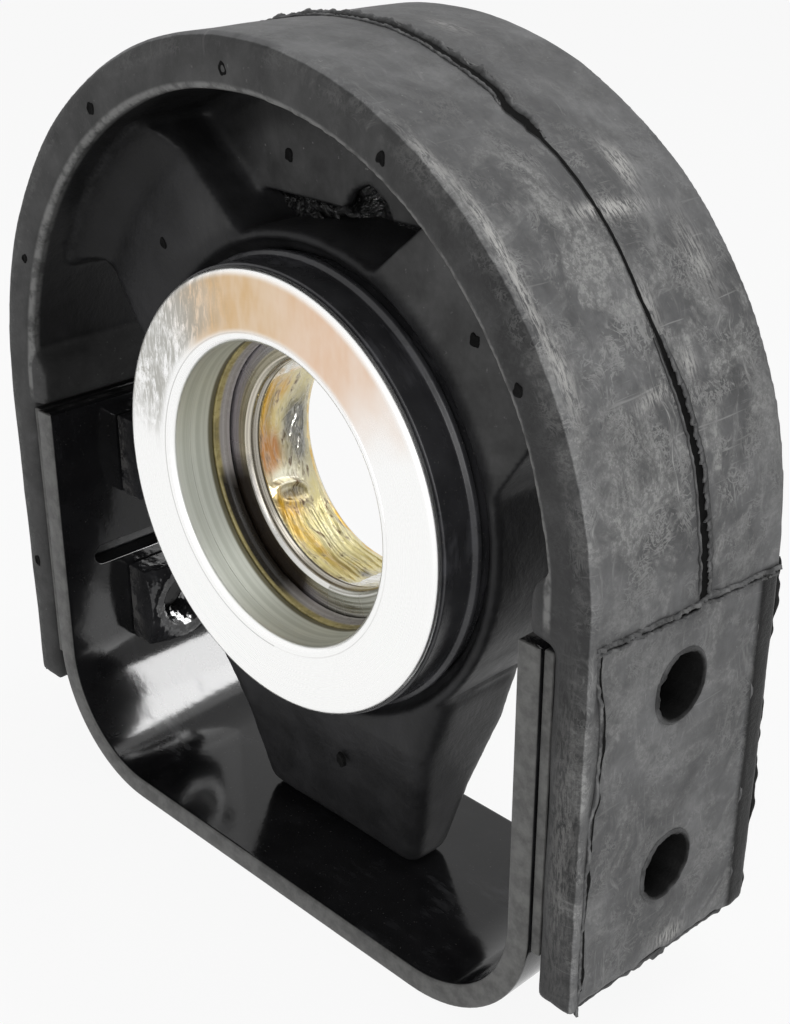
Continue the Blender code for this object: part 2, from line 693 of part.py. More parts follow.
def front_lip_seal(parts, surface):
    """The olive band at the end of the cover's flange."""
    lip = COVER_BORE - LIP_SEAL_REACH
    back_radius = COVER_BORE + FLANGE_WALL
    profile = [
        (COVER_BORE, LIP_SEAL_FRONT),
        (back_radius, LIP_SEAL_FRONT),
        (back_radius, LIP_SEAL_FRONT + LIP_SEAL_WIDTH * 0.6),
        (COVER_BORE, LIP_SEAL_BACK),
        (lip, LIP_SEAL_BACK),
        (lip, LIP_SEAL_FRONT + LIP_SEAL_WIDTH * 0.4),
    ]
    return turned("front_lip_seal", profile, RACE_STEPS, parts, surface)


def spacer_ring(parts, surface):
    """The ring between the cover's spigot and the bearing's outer ring."""
    outer = SLEEVE_INNER - CLEARANCE
    front, back = SPIGOT_END + CLEARANCE, RING_FRONT - CLEARANCE
    profile = [(outer, front), (outer, back), (outer - SPIGOT_WALL, back), (outer - SPIGOT_WALL, front)]
    return turned("spacer_ring", profile, RACE_STEPS, parts, surface)


def rear_cover(parts, surface):
    """The flat ring that closes the sleeve's back, with a short flange."""
    outer = SLEEVE_INNER - CLEARANCE
    flange_radius = COVER_BORE + FLANGE_WALL
    flange_end = RING_BACK + RUNNING_GAP + CLEARANCE
    profile = [
        (outer, REAR_COVER_FACE),
        (outer, REAR_COVER_BACK),
        (COVER_BORE, REAR_COVER_BACK),
        (COVER_BORE, flange_end),
        (flange_radius, flange_end),
        (flange_radius, REAR_COVER_FACE),
    ]
    return turned("rear_cover", profile, RACE_STEPS, parts, surface)


def race(inner):
    """The groove that the balls run in, on the inner or the outer ring."""
    land = INNER_LAND if inner else OUTER_LAND
    depth = abs(PITCH_RADIUS - land)
    half_angle = math.degrees(math.acos(depth / BALL_ROOM))
    middle = 180 if inner else 0
    return arc((PITCH_RADIUS, 0), BALL_ROOM, middle - half_angle, middle + half_angle, 18)


def inner_ring(parts, surface):
    """The bearing's inner ring."""
    half = RING_HALF_WIDTH
    profile = [
        (BORE_RADIUS, -half + RING_CHAMFER),
        (BORE_RADIUS, half - RING_CHAMFER),
        (BORE_RADIUS + RING_CHAMFER, half),
        (INNER_LAND, half),
    ] + race(True) + [
        (INNER_LAND, -half),
        (BORE_RADIUS + RING_CHAMFER, -half),
    ]
    return turned("inner_ring", profile, RACE_STEPS, parts, surface)


def outer_ring(parts, surface):
    """The bearing's outer ring."""
    half = RING_HALF_WIDTH
    profile = [
        (OUTER_LAND, -half),
        (RING_RADIUS - RING_CHAMFER, -half),
        (RING_RADIUS, -half + RING_CHAMFER),
        (RING_RADIUS, half - RING_CHAMFER),
        (RING_RADIUS - RING_CHAMFER, half),
        (OUTER_LAND, half),
    ] + race(False)[::-1]
    return turned("outer_ring", profile, RACE_STEPS, parts, surface)


def bearing_seal(name, sign, parts, surface):
    """A flat seal between the two rings."""
    inner, outer = INNER_LAND + RUNNING_GAP, OUTER_LAND - CLEARANCE
    near, far = sign * SEAL_INNER_FACE, sign * SEAL_OUTER_FACE
    profile = [(inner, near), (outer, near), (outer, far), (inner, far)]
    return turned(name, profile, RACE_STEPS, parts, surface)


def ball_places():
    """The angles of the balls about the shaft."""
    return [2 * math.pi * index / BALL_COUNT for index in range(BALL_COUNT)]


def ball_cage(parts, cutters, surface):
    """The cage, a ring with a round pocket for each ball."""
    inner, outer = PITCH_RADIUS - CAGE_THICKNESS / 2, PITCH_RADIUS + CAGE_THICKNESS / 2
    half = CAGE_HALF_WIDTH
    profile = [(inner, -half), (outer, -half), (outer, half), (inner, half)]
    cage = turned("ball_cage", profile, RACE_STEPS, parts, surface)
    axis_height = ARCH_HEIGHT - BEARING_DROP
    for number, angle in enumerate(ball_places(), 1):
        pocket = cross_pin(f"pocket_{number:02d}", BALL_ROOM, PITCH_RADIUS - CAGE_THICKNESS,
                           PITCH_RADIUS + CAGE_THICKNESS, 0, POCKET_STEPS, cutters)
        pocket.rotation_euler.y = math.pi / 2 - angle
        across, up = PITCH_RADIUS * math.cos(angle), PITCH_RADIUS * math.sin(angle)
        pocket.location = (across, BEARING_OFFSET, axis_height + up)
        cut(cage, pocket)
    return cage


def balls(parts, surface):
    """The balls, which share one mesh."""
    mesh = bpy.data.meshes.new("ball")
    shape = bmesh.new()
    rings = BALL_STEPS * 2 // 3
    bmesh.ops.create_uvsphere(shape, u_segments=BALL_STEPS, v_segments=rings, radius=BALL_RADIUS)
    shape.to_mesh(mesh)
    shape.free()
    made = []
    for number, angle in enumerate(ball_places(), 1):
        ball = add_object(f"ball_{number:02d}", mesh, parts, surface)
        ball.location = (PITCH_RADIUS * math.cos(angle), 0, PITCH_RADIUS * math.sin(angle))
        made.append(ball)
    return made


def axis_empty(name, parts):
    """An empty on the shaft's axis, at the bearing's middle."""
    empty = bpy.data.objects.new(name, None)
    empty.location = (0, BEARING_OFFSET, ARCH_HEIGHT - BEARING_DROP)
    parts.objects.link(empty)
    return empty


def bearing(parts, cutters, steel, rubber, plastic):
    """The rings, seals, cage and balls, on empties that turn about the shaft's axis."""
    fixed = axis_empty("outer_ring_axis", parts)
    turning = axis_empty("inner_ring_axis", parts)
    orbit = axis_empty("ball_cage_axis", parts)
    outer = outer_ring(parts, steel)
    seals = [bearing_seal("front_seal", -1, parts, rubber), bearing_seal("rear_seal", 1, parts, rubber)]
    inner = inner_ring(parts, steel)
    cage = ball_cage(parts, cutters, plastic)
    pairs = [(outer, fixed), (seals[0], fixed), (seals[1], fixed), (inner, turning), (cage, orbit)]
    for piece, parent in pairs:
        piece.parent = parent
        piece.location = (0, 0, 0)
    for ball in balls(parts, steel):
        ball.parent = orbit


def build():
    """Make every piece, then mark the cutters."""
    clear_scene()
    parts = new_collection("driveshaft_centre_bearing")
    cutters = new_collection("cutters")
    paint, bright, steel = black_paint(), bright_steel(), bearing_steel()
    rubber_mount(parts, cutters, mount_rubber())
    strap(parts, cutters, paint)
    for side, sign in SIDES.items():
        side_plate(side, sign, parts, cutters, paint)
        for level, height in BOLT_HEIGHTS.items():
            weld_nut(side, sign, level, height, parts, cutters, paint)
    carrier_sleeve(parts, paint)
    front_cover(parts, bright)
    front_lip_seal(parts, olive_rubber())
    spacer_ring(parts, bright)
    rear_cover(parts, bright)
    bearing(parts, cutters, steel, seal_rubber(), cage_plastic())
    for tool in cutters.objects:
        tool.hide_render = True
        tool.display_type = "WIRE"
    bpy.context.view_layer.update()


build()
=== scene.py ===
"""Driveshaft centre bearing: the pieces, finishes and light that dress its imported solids.

Metres, in the frame of the solids: X is the width, Y runs along the shaft with the front at -Y,
Z is up from the floor. Angles round the arch start at +X and rise over the top.
"""

import math

import bmesh
import bpy
import numpy as np
from bpy.props import FloatProperty, FloatVectorProperty, IntProperty, PointerProperty
from mathutils import Matrix, Vector, noise


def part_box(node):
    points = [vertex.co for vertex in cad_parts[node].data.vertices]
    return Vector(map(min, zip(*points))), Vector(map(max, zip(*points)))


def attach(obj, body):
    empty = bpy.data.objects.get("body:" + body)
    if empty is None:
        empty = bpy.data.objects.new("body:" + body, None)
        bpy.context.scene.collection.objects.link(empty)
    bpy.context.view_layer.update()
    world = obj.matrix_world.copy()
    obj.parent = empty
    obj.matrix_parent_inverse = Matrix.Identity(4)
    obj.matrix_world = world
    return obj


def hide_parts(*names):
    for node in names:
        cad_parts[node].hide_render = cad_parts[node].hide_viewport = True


bl_info = {
    "name": "Driveshaft Centre Bearing",
    "version": (1, 0, 0),
    "blender": (4, 5, 0),
    "location": "3D View > Sidebar > Centre Bearing",
    "description": "Builds the visible pieces, finishes and stage of a driveshaft centre bearing",
    "category": "Add Mesh",
}

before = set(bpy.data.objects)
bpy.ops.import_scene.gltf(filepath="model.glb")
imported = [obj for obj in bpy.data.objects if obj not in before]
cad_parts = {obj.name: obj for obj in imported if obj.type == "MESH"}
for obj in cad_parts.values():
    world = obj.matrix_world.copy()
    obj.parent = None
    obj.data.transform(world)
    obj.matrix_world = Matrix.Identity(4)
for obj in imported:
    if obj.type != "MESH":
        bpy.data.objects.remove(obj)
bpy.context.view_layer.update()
MOUNT_LOW, MOUNT_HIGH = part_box("rubber_mount")
ARCH_RADIUS = MOUNT_HIGH.x
ARCH_Z = MOUNT_HIGH.z - ARCH_RADIUS
RIM_INNER = ARCH_RADIUS - 0.012
PAD_FACE = ARCH_RADIUS - 0.0008
FRONT = MOUNT_LOW.y
BACK = MOUNT_HIGH.y
RING_LOW, RING_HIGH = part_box("inner_ring")
AXIS_Z = (RING_LOW.z + RING_HIGH.z) / 2
STRAP_LOW, STRAP_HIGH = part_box("strap")
STRAP_THICK = 0.0061
BEND = 0.0302
HUB_RADIUS = 0.0629
BOLT_LEVELS = {"upper": ARCH_Z - 0.0233, "lower": ARCH_Z - 0.0707}
SIDES = {"left": -1.0, "right": 1.0}
RUBBER_HOLE, STEEL_HOLE = 0.0083, 0.0085
SLOT_RISE, SLOT_RADIUS, SLOT_REACH = 0.0182, 0.0031, 0.0198
NUT_BORE, NUT_THREAD, NUT_MOUTH, NUT_FACE = 0.0070, 0.0077, 0.0084, 0.0112
COVER_BORE, COVER_FLANGE, COVER_SPIGOT = 0.0382, 0.0404, 0.0550
RACE_BORE, BALL_PITCH, BALL_ROOM = 0.030, 0.0425, 0.00834
FLOOR_GLOW, SOFT_SKY = 0.91, 0.30
CAMERA_PLACE, CAMERA_TURN = (0.2681, -0.2471, 0.2707), (64.77, 0.0, 45.64)
SKIN = {"slot": "mount_rubber", "sharp": 180.0}
# Near black, for painted shade.
NEAR_BLACK = (0.006, 0.006, 0.006)


# Sizes and colours


def a_length(label, note, default, low, high):
    """A length in metres, as a setting."""
    return FloatProperty(name=label, description=note, default=default, min=low, max=high,
                         unit="LENGTH", subtype="DISTANCE")


def a_colour(label, note, default):
    """A colour, as a setting."""
    return FloatVectorProperty(name=label, description=note, size=3, default=default, min=0.0,
                               max=1.0, subtype="COLOR")


def a_power(label, note, default, high=100.0):
    """A lamp's power in watts, as a setting."""
    return FloatProperty(name=label, description=note, default=default, min=0.0, max=high,
                         unit="POWER")


class RubberLooks(bpy.types.PropertyGroup):
    """Sizes and colours of the rubber mount."""

    cell: a_length("Skin cell", "Spacing of the skin's points", 0.00125, 0.001, 0.004)
    waviness: a_length("Waviness", "How far the moulded surface wanders", 0.00022, 0.0, 0.001)
    outer_colour: a_colour("Outer rubber", "Colour of the arch and the legs outside",
                           (0.155, 0.156, 0.158))
    rim_colour: a_colour("Rim rubber", "Colour of the arch's front and back faces",
                         (0.060, 0.060, 0.060))
    hollow_colour: a_colour("Inner rubber", "Colour of the hub, wings and foot",
                            (0.021, 0.021, 0.022))
    scuff_colour: a_colour("Scuffs", "Colour of the pale scuffs", (0.50, 0.50, 0.49))


class FlashLooks(bpy.types.PropertyGroup):
    """Size of the torn moulding flash."""

    wall: a_length("Flash wall", "Thickness of the flash at the legs' ends", 0.00045, 0.0002, 0.002)


class PaintLooks(bpy.types.PropertyGroup):
    """Sizes and colours of the black painted steel."""

    paint: a_colour("Paint", "Colour of the paint", (0.006, 0.006, 0.0065))
    edge: a_length("Edge radius", "Rounding of the strap's edges", 0.0007, 0.0001, 0.002)
    thread_pitch: a_length("Thread pitch", "Pitch of the nuts' threads", 0.0015, 0.0008, 0.003)


class RingLooks(bpy.types.PropertyGroup):
    """Sizes and colours of the sleeve, the covers and the bearing."""

    steps: IntProperty(name="Steps", description="Steps round each turned piece", default=160,
                       min=48, max=320)
    plate: a_colour("Plated steel", "Colour of the bright cover", (1.0, 1.0, 0.99))
    # The gold and peach colours are a painted reflection on the cover's face.
    gold: a_colour("Golden sheen", "Colour of the sheen at the cover's top", (0.68, 0.45, 0.22))
    peach: a_colour("Peach sheen", "Colour of the sheen at the cover's right", (0.78, 0.54, 0.37))
    olive: a_colour("Lip seal", "Colour of the lip seal", (0.44, 0.37, 0.16))
    grease: a_colour("Grease", "Colour of the grease", (0.68, 0.38, 0.02))


class StageLooks(bpy.types.PropertyGroup):
    """The floor, the lamps and the camera."""

    floor: a_colour("Floor", "Colour of the floor", (0.93, 0.93, 0.93))
    key: a_power("Key lamp", "Power of the upper lamp", 2.6)
    fill: a_power("Fill lamp", "Power of the front lamp", 3.3)
    card: a_power("Reflection card", "Power of the card that the gloss reflects", 30.0)
    glint: a_power("Glint lamp", "Power of the small lamp that wet folds glint in", 3.0, 10.0)
    lens: FloatProperty(name="Lens", description="Focal length in millimetres", default=55.74,
                        min=20.0, max=200.0)


# Mesh helpers


def smooth_share(value, low, high):
    """0 below low, 1 above high and an even curve between; low may be the greater."""
    share = np.clip((value - low) / (high - low), 0.0, 1.0)
    return share * share * (3 - 2 * share)


def wander(x, y, z, size, seed=0):
    """Even noise from -1 to 1 whose bumps are about that size in metres."""
    return noise.noise(Vector((x / size + 17.3 * seed, y / size - 5.1 * seed, z / size + 3.7)))


def bumpy(x, y, z):
    """Even noise from -1 to 1 whose bumps are about one unit wide."""
    return noise.noise(Vector((x, y, z)))


def ease(value, low, high):
    """The smooth share of a single number."""
    return float(smooth_share(value, low, high))


def placed(name, shape, surface, body="housing", slot=None, replaces=(), sharp=40.0):
    """Make an object of a finished bmesh, at the origin, riding on a body."""
    mesh = bpy.data.meshes.new(name)
    shape.to_mesh(mesh)
    shape.free()
    return dressed(name, mesh, surface, body, replaces, sharp)


def dressed(name, mesh, surface, body="housing", replaces=(), sharp=40.0):
    """Link a mesh as a piece with its material and body, and hide the nodes that it stands for."""
    mesh.name = name
    mesh.materials.clear()
    mesh.materials.append(surface)
    mesh.shade_smooth()
    mesh.set_sharp_from_angle(angle=math.radians(sharp))
    piece = bpy.data.objects.new(name, mesh)
    bpy.context.scene.collection.objects.link(piece)
    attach(piece, body)
    if replaces:
        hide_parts(*replaces)
    return piece


def evaluated_mesh(source):
    """The mesh that an object's modifiers make, as plain data; the object goes."""
    bpy.context.view_layer.update()
    seen = source.evaluated_get(bpy.context.evaluated_depsgraph_get())
    mesh = bpy.data.meshes.new_from_object(seen)
    bpy.data.objects.remove(source, do_unlink=True)
    return mesh


def loose(name, shape):
    """A helper object of a bmesh, to be used up by a modifier."""
    mesh = bpy.data.meshes.new(name)
    shape.to_mesh(mesh)
    shape.free()
    helper = bpy.data.objects.new(name, mesh)
    bpy.context.scene.collection.objects.link(helper)
    return helper


def carved(body, cutters, operation="DIFFERENCE"):
    """The mesh of a helper object after Booleans with others, which all go."""
    for cutter in cutters:
        step = body.modifiers.new(cutter.name, "BOOLEAN")
        step.operation = operation
        step.object = cutter
        step.solver = "EXACT"
    mesh = evaluated_mesh(body)
    for cutter in cutters:
        bpy.data.objects.remove(cutter, do_unlink=True)
    return mesh


def merged_copy(node):
    """A CAD node's mesh as a bmesh with its doubles merged."""
    shape = bmesh.new()
    shape.from_mesh(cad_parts[node].data)
    bmesh.ops.remove_doubles(shape, verts=shape.verts, dist=1e-6)
    return shape


def added(whole, part):
    """Add one bmesh to another; the part goes."""
    mesh = bpy.data.meshes.new("part")
    part.to_mesh(mesh)
    part.free()
    whole.from_mesh(mesh)
    bpy.data.meshes.remove(mesh)


def walled(piece, wall):
    """Give an open sheet its thickness, half to each side."""
    thick = piece.modifiers.new("wall", "SOLIDIFY")
    thick.thickness, thick.offset = wall, 0.0


def rounded(shape, geom, radius, steps=2, affect="EDGES"):
    """Round edges, or the corners of a flat outline, to a radius."""
    bmesh.ops.bevel(shape, geom=geom, offset=radius, offset_type="OFFSET", segments=steps,
                    profile=0.5, affect=affect, material=-1)


def pinned(shape, shortest, step):
    """Split each long edge near both ends, so that smooth shading keeps to the rounded corners."""
    for edge in [e for e in shape.edges if e.calc_length() > shortest]:
        near, far = edge.verts
        _, knot = bmesh.utils.edge_split(edge, near, step / edge.calc_length())
        rest = shape.edges.get((knot, far))
        bmesh.utils.edge_split(rest, far, step / rest.calc_length())


def block(low, high, radius, steps):
    """A box between two corners, with its edges rounded."""
    shape = bmesh.new()
    bmesh.ops.create_cube(shape, size=1.0)
    bmesh.ops.scale(shape, verts=shape.verts, vec=high - low)
    bmesh.ops.translate(shape, verts=shape.verts, vec=(low + high) / 2)
    rounded(shape, shape.edges[:], radius, steps)
    return shape


def spun(profile, steps, centre_z=None, rounding_steps=4):
    """A closed (radius, y, rounding) profile, rounded at its corners and spun about a Y axis."""
    centre_z = AXIS_Z if centre_z is None else centre_z
    shape = bmesh.new()
    corners = [shape.verts.new((radius, along, centre_z)) for radius, along, _ in profile]
    shape.faces.new(corners)
    sizes = sorted({size for _, _, size in profile if size > 0})
    picked = {size: [c for c, knot in zip(corners, profile) if knot[2] == size] for size in sizes}
    for size in sizes:
        rounded(shape, picked[size], size, rounding_steps, "VERTICES")
    pinned(shape, 0.0016, 0.0003)
    bmesh.ops.delete(shape, geom=shape.faces[:], context="FACES_ONLY")
    bmesh.ops.spin(shape, geom=shape.verts[:] + shape.edges[:], cent=(0, 0, centre_z),
                   axis=(0, 1, 0), dvec=(0, 0, 0), angle=2 * math.pi, steps=steps, use_merge=True)
    bmesh.ops.remove_doubles(shape, verts=shape.verts, dist=1e-6)
    bmesh.ops.recalc_face_normals(shape, faces=shape.faces)
    return shape


def ribbon(across, along, place):
    """A grid of faces laid by a function of (share along, share across)."""
    shape = bmesh.new()
    bmesh.ops.create_grid(shape, x_segments=along, y_segments=across, size=0.5)
    for vert in shape.verts:
        vert.co = place(vert.co.x + 0.5, vert.co.y + 0.5)
    return shape


def on_arch(angle, along, radius):
    """A point by its angle in degrees round the arch, its y and its radius."""
    turn = math.radians(angle)
    return Vector((radius * math.cos(turn), along, ARCH_Z + radius * math.sin(turn)))


# Node helpers


class Wiring:
    """Adds nodes to one tree and joins them."""

    def __init__(self, tree):
        self.tree = tree

    def feed(self, socket, value):
        if isinstance(value, bpy.types.NodeSocket):
            self.tree.links.new(value, socket)
        elif socket.type == "RGBA":
            socket.default_value = (*value[:3], 1.0)
        else:
            socket.default_value = value

    def add(self, kind, inputs=None, **settings):
        made = self.tree.nodes.new(kind)
        for name, value in settings.items():
            setattr(made, name, value)
        for name, value in (inputs or {}).items():
            self.feed(made.inputs[name], value)
        return made

    def maths(self, operation, *values, clamp=False):
        made = self.add("ShaderNodeMath", operation=operation, use_clamp=clamp)
        for socket, value in zip(made.inputs, values):
            self.feed(socket, value)
        return made.outputs[0]

    def plus(self, *values, **settings):
        return self.maths("ADD", *values, **settings)

    def minus(self, *values):
        return self.maths("SUBTRACT", *values)

    def times(self, *values, **settings):
        return self.maths("MULTIPLY", *values, **settings)

    def most(self, *values):
        return self.maths("MAXIMUM", *values)

    def vector(self, operation, *values):
        made = self.add("ShaderNodeVectorMath", operation=operation)
        for socket, value in zip(made.inputs, values):
            self.feed(socket, value)
        return made.outputs[0]

    def blend(self, share, low, high, mode="MIX"):
        made = self.add("ShaderNodeMix", data_type="RGBA", blend_type=mode)
        for index, value in ((0, share), (6, low), (7, high)):
            self.feed(made.inputs[index], value)
        return made.outputs[2]

    def slide(self, share, low, high):
        made = self.add("ShaderNodeMix", data_type="FLOAT")
        for index, value in ((0, share), (2, low), (3, high)):
            self.feed(made.inputs[index], value)
        return made.outputs[0]

    def between(self, value, low, high, start=0.0, end=1.0):
        made = self.add("ShaderNodeMapRange", interpolation_type="SMOOTHSTEP")
        for index, number in ((0, value), (1, low), (2, high), (3, start), (4, end)):
            self.feed(made.inputs[index], number)
        return made.outputs[0]

    def noise(self, place, scale, detail=3.0, roughness=0.55, distortion=0.0):
        made = self.add("ShaderNodeTexNoise", {"Vector": place, "Scale": scale, "Detail": detail,
                                               "Roughness": roughness, "Distortion": distortion})
        return made.outputs["Fac"]

    def object_place(self):
        return self.add("ShaderNodeTexCoord").outputs["Object"]

    def stretched(self, place, scale, turn=(0, 0, 0)):
        made = self.add("ShaderNodeMapping", {"Vector": place, "Rotation": turn, "Scale": scale})
        return made.outputs[0]

    def split(self, place):
        return self.add("ShaderNodeSeparateXYZ", {"Vector": place}).outputs

    def attribute(self, name, output="Fac"):
        return self.add("ShaderNodeAttribute", attribute_name=name).outputs[output]

    def bump(self, height, strength, distance):
        inputs = {"Height": height, "Strength": strength, "Distance": distance}
        return self.add("ShaderNodeBump", inputs).outputs["Normal"]

    def effect(self, group, **inputs):
        made = self.add("ShaderNodeGroup", node_tree=group)
        for name, value in inputs.items():
            self.feed(made.inputs[name], value)
        return made.outputs


def new_effect(name, inputs, outputs):
    """A shader node group with named sockets, made once."""
    group = bpy.data.node_groups.new(name, "ShaderNodeTree")
    kinds = {"v": "NodeSocketVector", "f": "NodeSocketFloat"}
    for label, kind in inputs:
        group.interface.new_socket(name=label, in_out="INPUT", socket_type=kinds[kind])
    for label, kind in outputs:
        group.interface.new_socket(name=label, in_out="OUTPUT", socket_type=kinds[kind])
    wiring = Wiring(group)
    source = wiring.add("NodeGroupInput").outputs
    sink = wiring.add("NodeGroupOutput").inputs
    return group, wiring, source, sink


def moulded_grain():
    """Fine pebbled grain and soft mottling of moulded rubber."""
    found = bpy.data.node_groups.get("moulded_grain")
    if found:
        return found
    group, w, source, sink = new_effect("moulded_grain", [("Place", "v"), ("Size", "f")],
                                        [("Height", "f"), ("Mottle", "f")])
    cells = w.maths("DIVIDE", 1.0, source["Size"])
    fine = w.noise(source["Place"], cells, 4.0, 0.65)
    wide = w.noise(source["Place"], w.times(cells, 0.09), 3.0, 0.6)
    middle = w.noise(source["Place"], w.times(cells, 0.3), 3.0, 0.6)
    w.feed(sink["Height"], w.plus(w.times(fine, 0.6), w.times(middle, 0.4)))
    spread = w.plus(w.times(wide, 0.55), w.times(middle, 0.3))
    w.feed(sink["Mottle"], w.plus(spread, w.times(fine, 0.15)))
    return group


def dry_scuffs():
    """Chalky streaks, curled scratches and cloudy rubbing of a handled surface, as masks."""
    found = bpy.data.node_groups.get("dry_scuffs")
    if found:
        return found
    group, w, source, sink = new_effect("dry_scuffs", [("Place", "v"), ("Amount", "f")],
                                        [("Streaks", "f"), ("Curls", "f"), ("Clouds", "f")])
    bent = w.noise(source["Place"], 45.0, 2.0)
    push = w.add("ShaderNodeCombineXYZ", {"Y": w.times(bent, 0.016)}).outputs[0]
    place = w.vector("ADD", source["Place"], push)
    streaks = w.noise(w.stretched(place, (60, 620, 60)), 1.0, 4.0, 0.7)
    wisps = w.noise(w.stretched(place, (170, 520, 170), (0, 0, 0.5)), 1.0, 3.0, 0.75, 1.2)
    patches = w.between(w.noise(source["Place"], 60.0, 3.0, 0.6), 0.40, 0.62)
    lines = w.most(w.between(streaks, 0.54, 0.76), w.between(wisps, 0.57, 0.78))
    streaked = w.times(lines, patches)
    curls = []
    for scale, width, twist in ((130.0, 0.050, 2.4), (260.0, 0.060, 1.6)):
        field = w.noise(source["Place"], scale, 3.0, 0.62, twist)
        away = w.maths("ABSOLUTE", w.minus(field, 0.5))
        curls.append(w.between(away, width, 0.0))
    broken = w.between(w.noise(source["Place"], 95.0, 3.0, 0.7), 0.44, 0.60)
    curled = w.times(w.most(curls[0], w.times(curls[1], 0.8)), broken)
    clouds = w.between(w.noise(place, 56.0, 6.0, 0.62, 1.4), 0.46, 0.66)
    w.feed(sink["Streaks"], w.times(streaked, source["Amount"], clamp=True))
    w.feed(sink["Curls"], w.times(curled, source["Amount"], clamp=True))
    w.feed(sink["Clouds"], w.times(clouds, source["Amount"], clamp=True))
    return group


def worn_edges():
    """A broken mask where a surface turns outwards sharply."""
    found = bpy.data.node_groups.get("worn_edges")
    if found:
        return found
    group, w, source, sink = new_effect("worn_edges",
                                        [("Place", "v"), ("Start", "f"), ("End", "f")],
                                        [("Mask", "f")])
    turn = w.add("ShaderNodeNewGeometry").outputs["Pointiness"]
    broken = w.between(w.noise(source["Place"], 260.0, 4.0, 0.7), 0.35, 0.62)
    w.feed(sink["Mask"], w.times(w.between(turn, source["Start"], source["End"]), broken))
    return group


def handled_dust():
    """Thin dust and smears on a glossy surface, as a mask."""
    found = bpy.data.node_groups.get("handled_dust")
    if found:
        return found
    group, w, source, sink = new_effect("handled_dust", [("Place", "v"), ("Amount", "f")],
                                        [("Mask", "f"), ("Specks", "f")])
    patches = w.between(w.noise(source["Place"], 38.0, 4.0, 0.65, 0.8), 0.46, 0.72)
    wiped = w.between(w.noise(w.stretched(source["Place"], (60, 240, 60), (0.3, 0.5, 0.9)), 1.0,
                              3.0, 0.7), 0.45, 0.75)
    specks = w.between(w.noise(source["Place"], 1700.0, 2.0, 0.5), 0.70, 0.78)
    smears = w.times(patches, wiped)
    w.feed(sink["Mask"], w.times(smears, source["Amount"], clamp=True))
    w.feed(sink["Specks"], w.times(specks, source["Amount"], clamp=True))
    return group


def lathe_lines():
    """The fine and coarse rings that turning leaves, with the radius and the angle."""
    found = bpy.data.node_groups.get("lathe_lines")
    if found:
        return found
    group, w, source, sink = new_effect("lathe_lines", [("Place", "v")],
                                        [("Height", "f"), ("Bands", "f"), ("Radius", "f"),
                                         ("Turn", "f")])
    x, y, z = w.split(source["Place"])[:3]
    up = w.minus(z, AXIS_Z)
    radius = w.maths("SQRT", w.plus(w.times(x, x), w.times(up, up)))

    def ringed(scale, detail):
        across = w.add("ShaderNodeCombineXYZ", {"X": w.times(radius, scale),
                                                "Y": w.times(y, scale)}).outputs[0]
        return w.noise(across, 1.0, detail, 0.6)
    w.feed(sink["Height"], ringed(2600.0, 3.0))
    w.feed(sink["Bands"], ringed(900.0, 1.0))
    w.feed(sink["Radius"], radius)
    angle = w.maths("DEGREES", w.maths("ARCTAN2", up, x))
    below = w.maths("LESS_THAN", angle, -90.0)
    w.feed(sink["Turn"], w.plus(angle, w.times(below, 360.0)))
    return group


def new_surface(name):
    """A material with one Principled shader, and the wiring to dress it."""
    surface = bpy.data.materials.get(name)
    if surface:
        return surface, None, None
    surface = bpy.data.materials.new(name)
    surface.use_nodes = True
    shader = surface.node_tree.nodes["Principled BSDF"]
    return surface, Wiring(surface.node_tree), shader


def set_shader(w, shader, **values):
    """Feed the shader's sockets; underscores stand for the spaces in their names."""
    for name, value in values.items():
        w.feed(shader.inputs[name.replace("_", " ")], value)


# Finishes


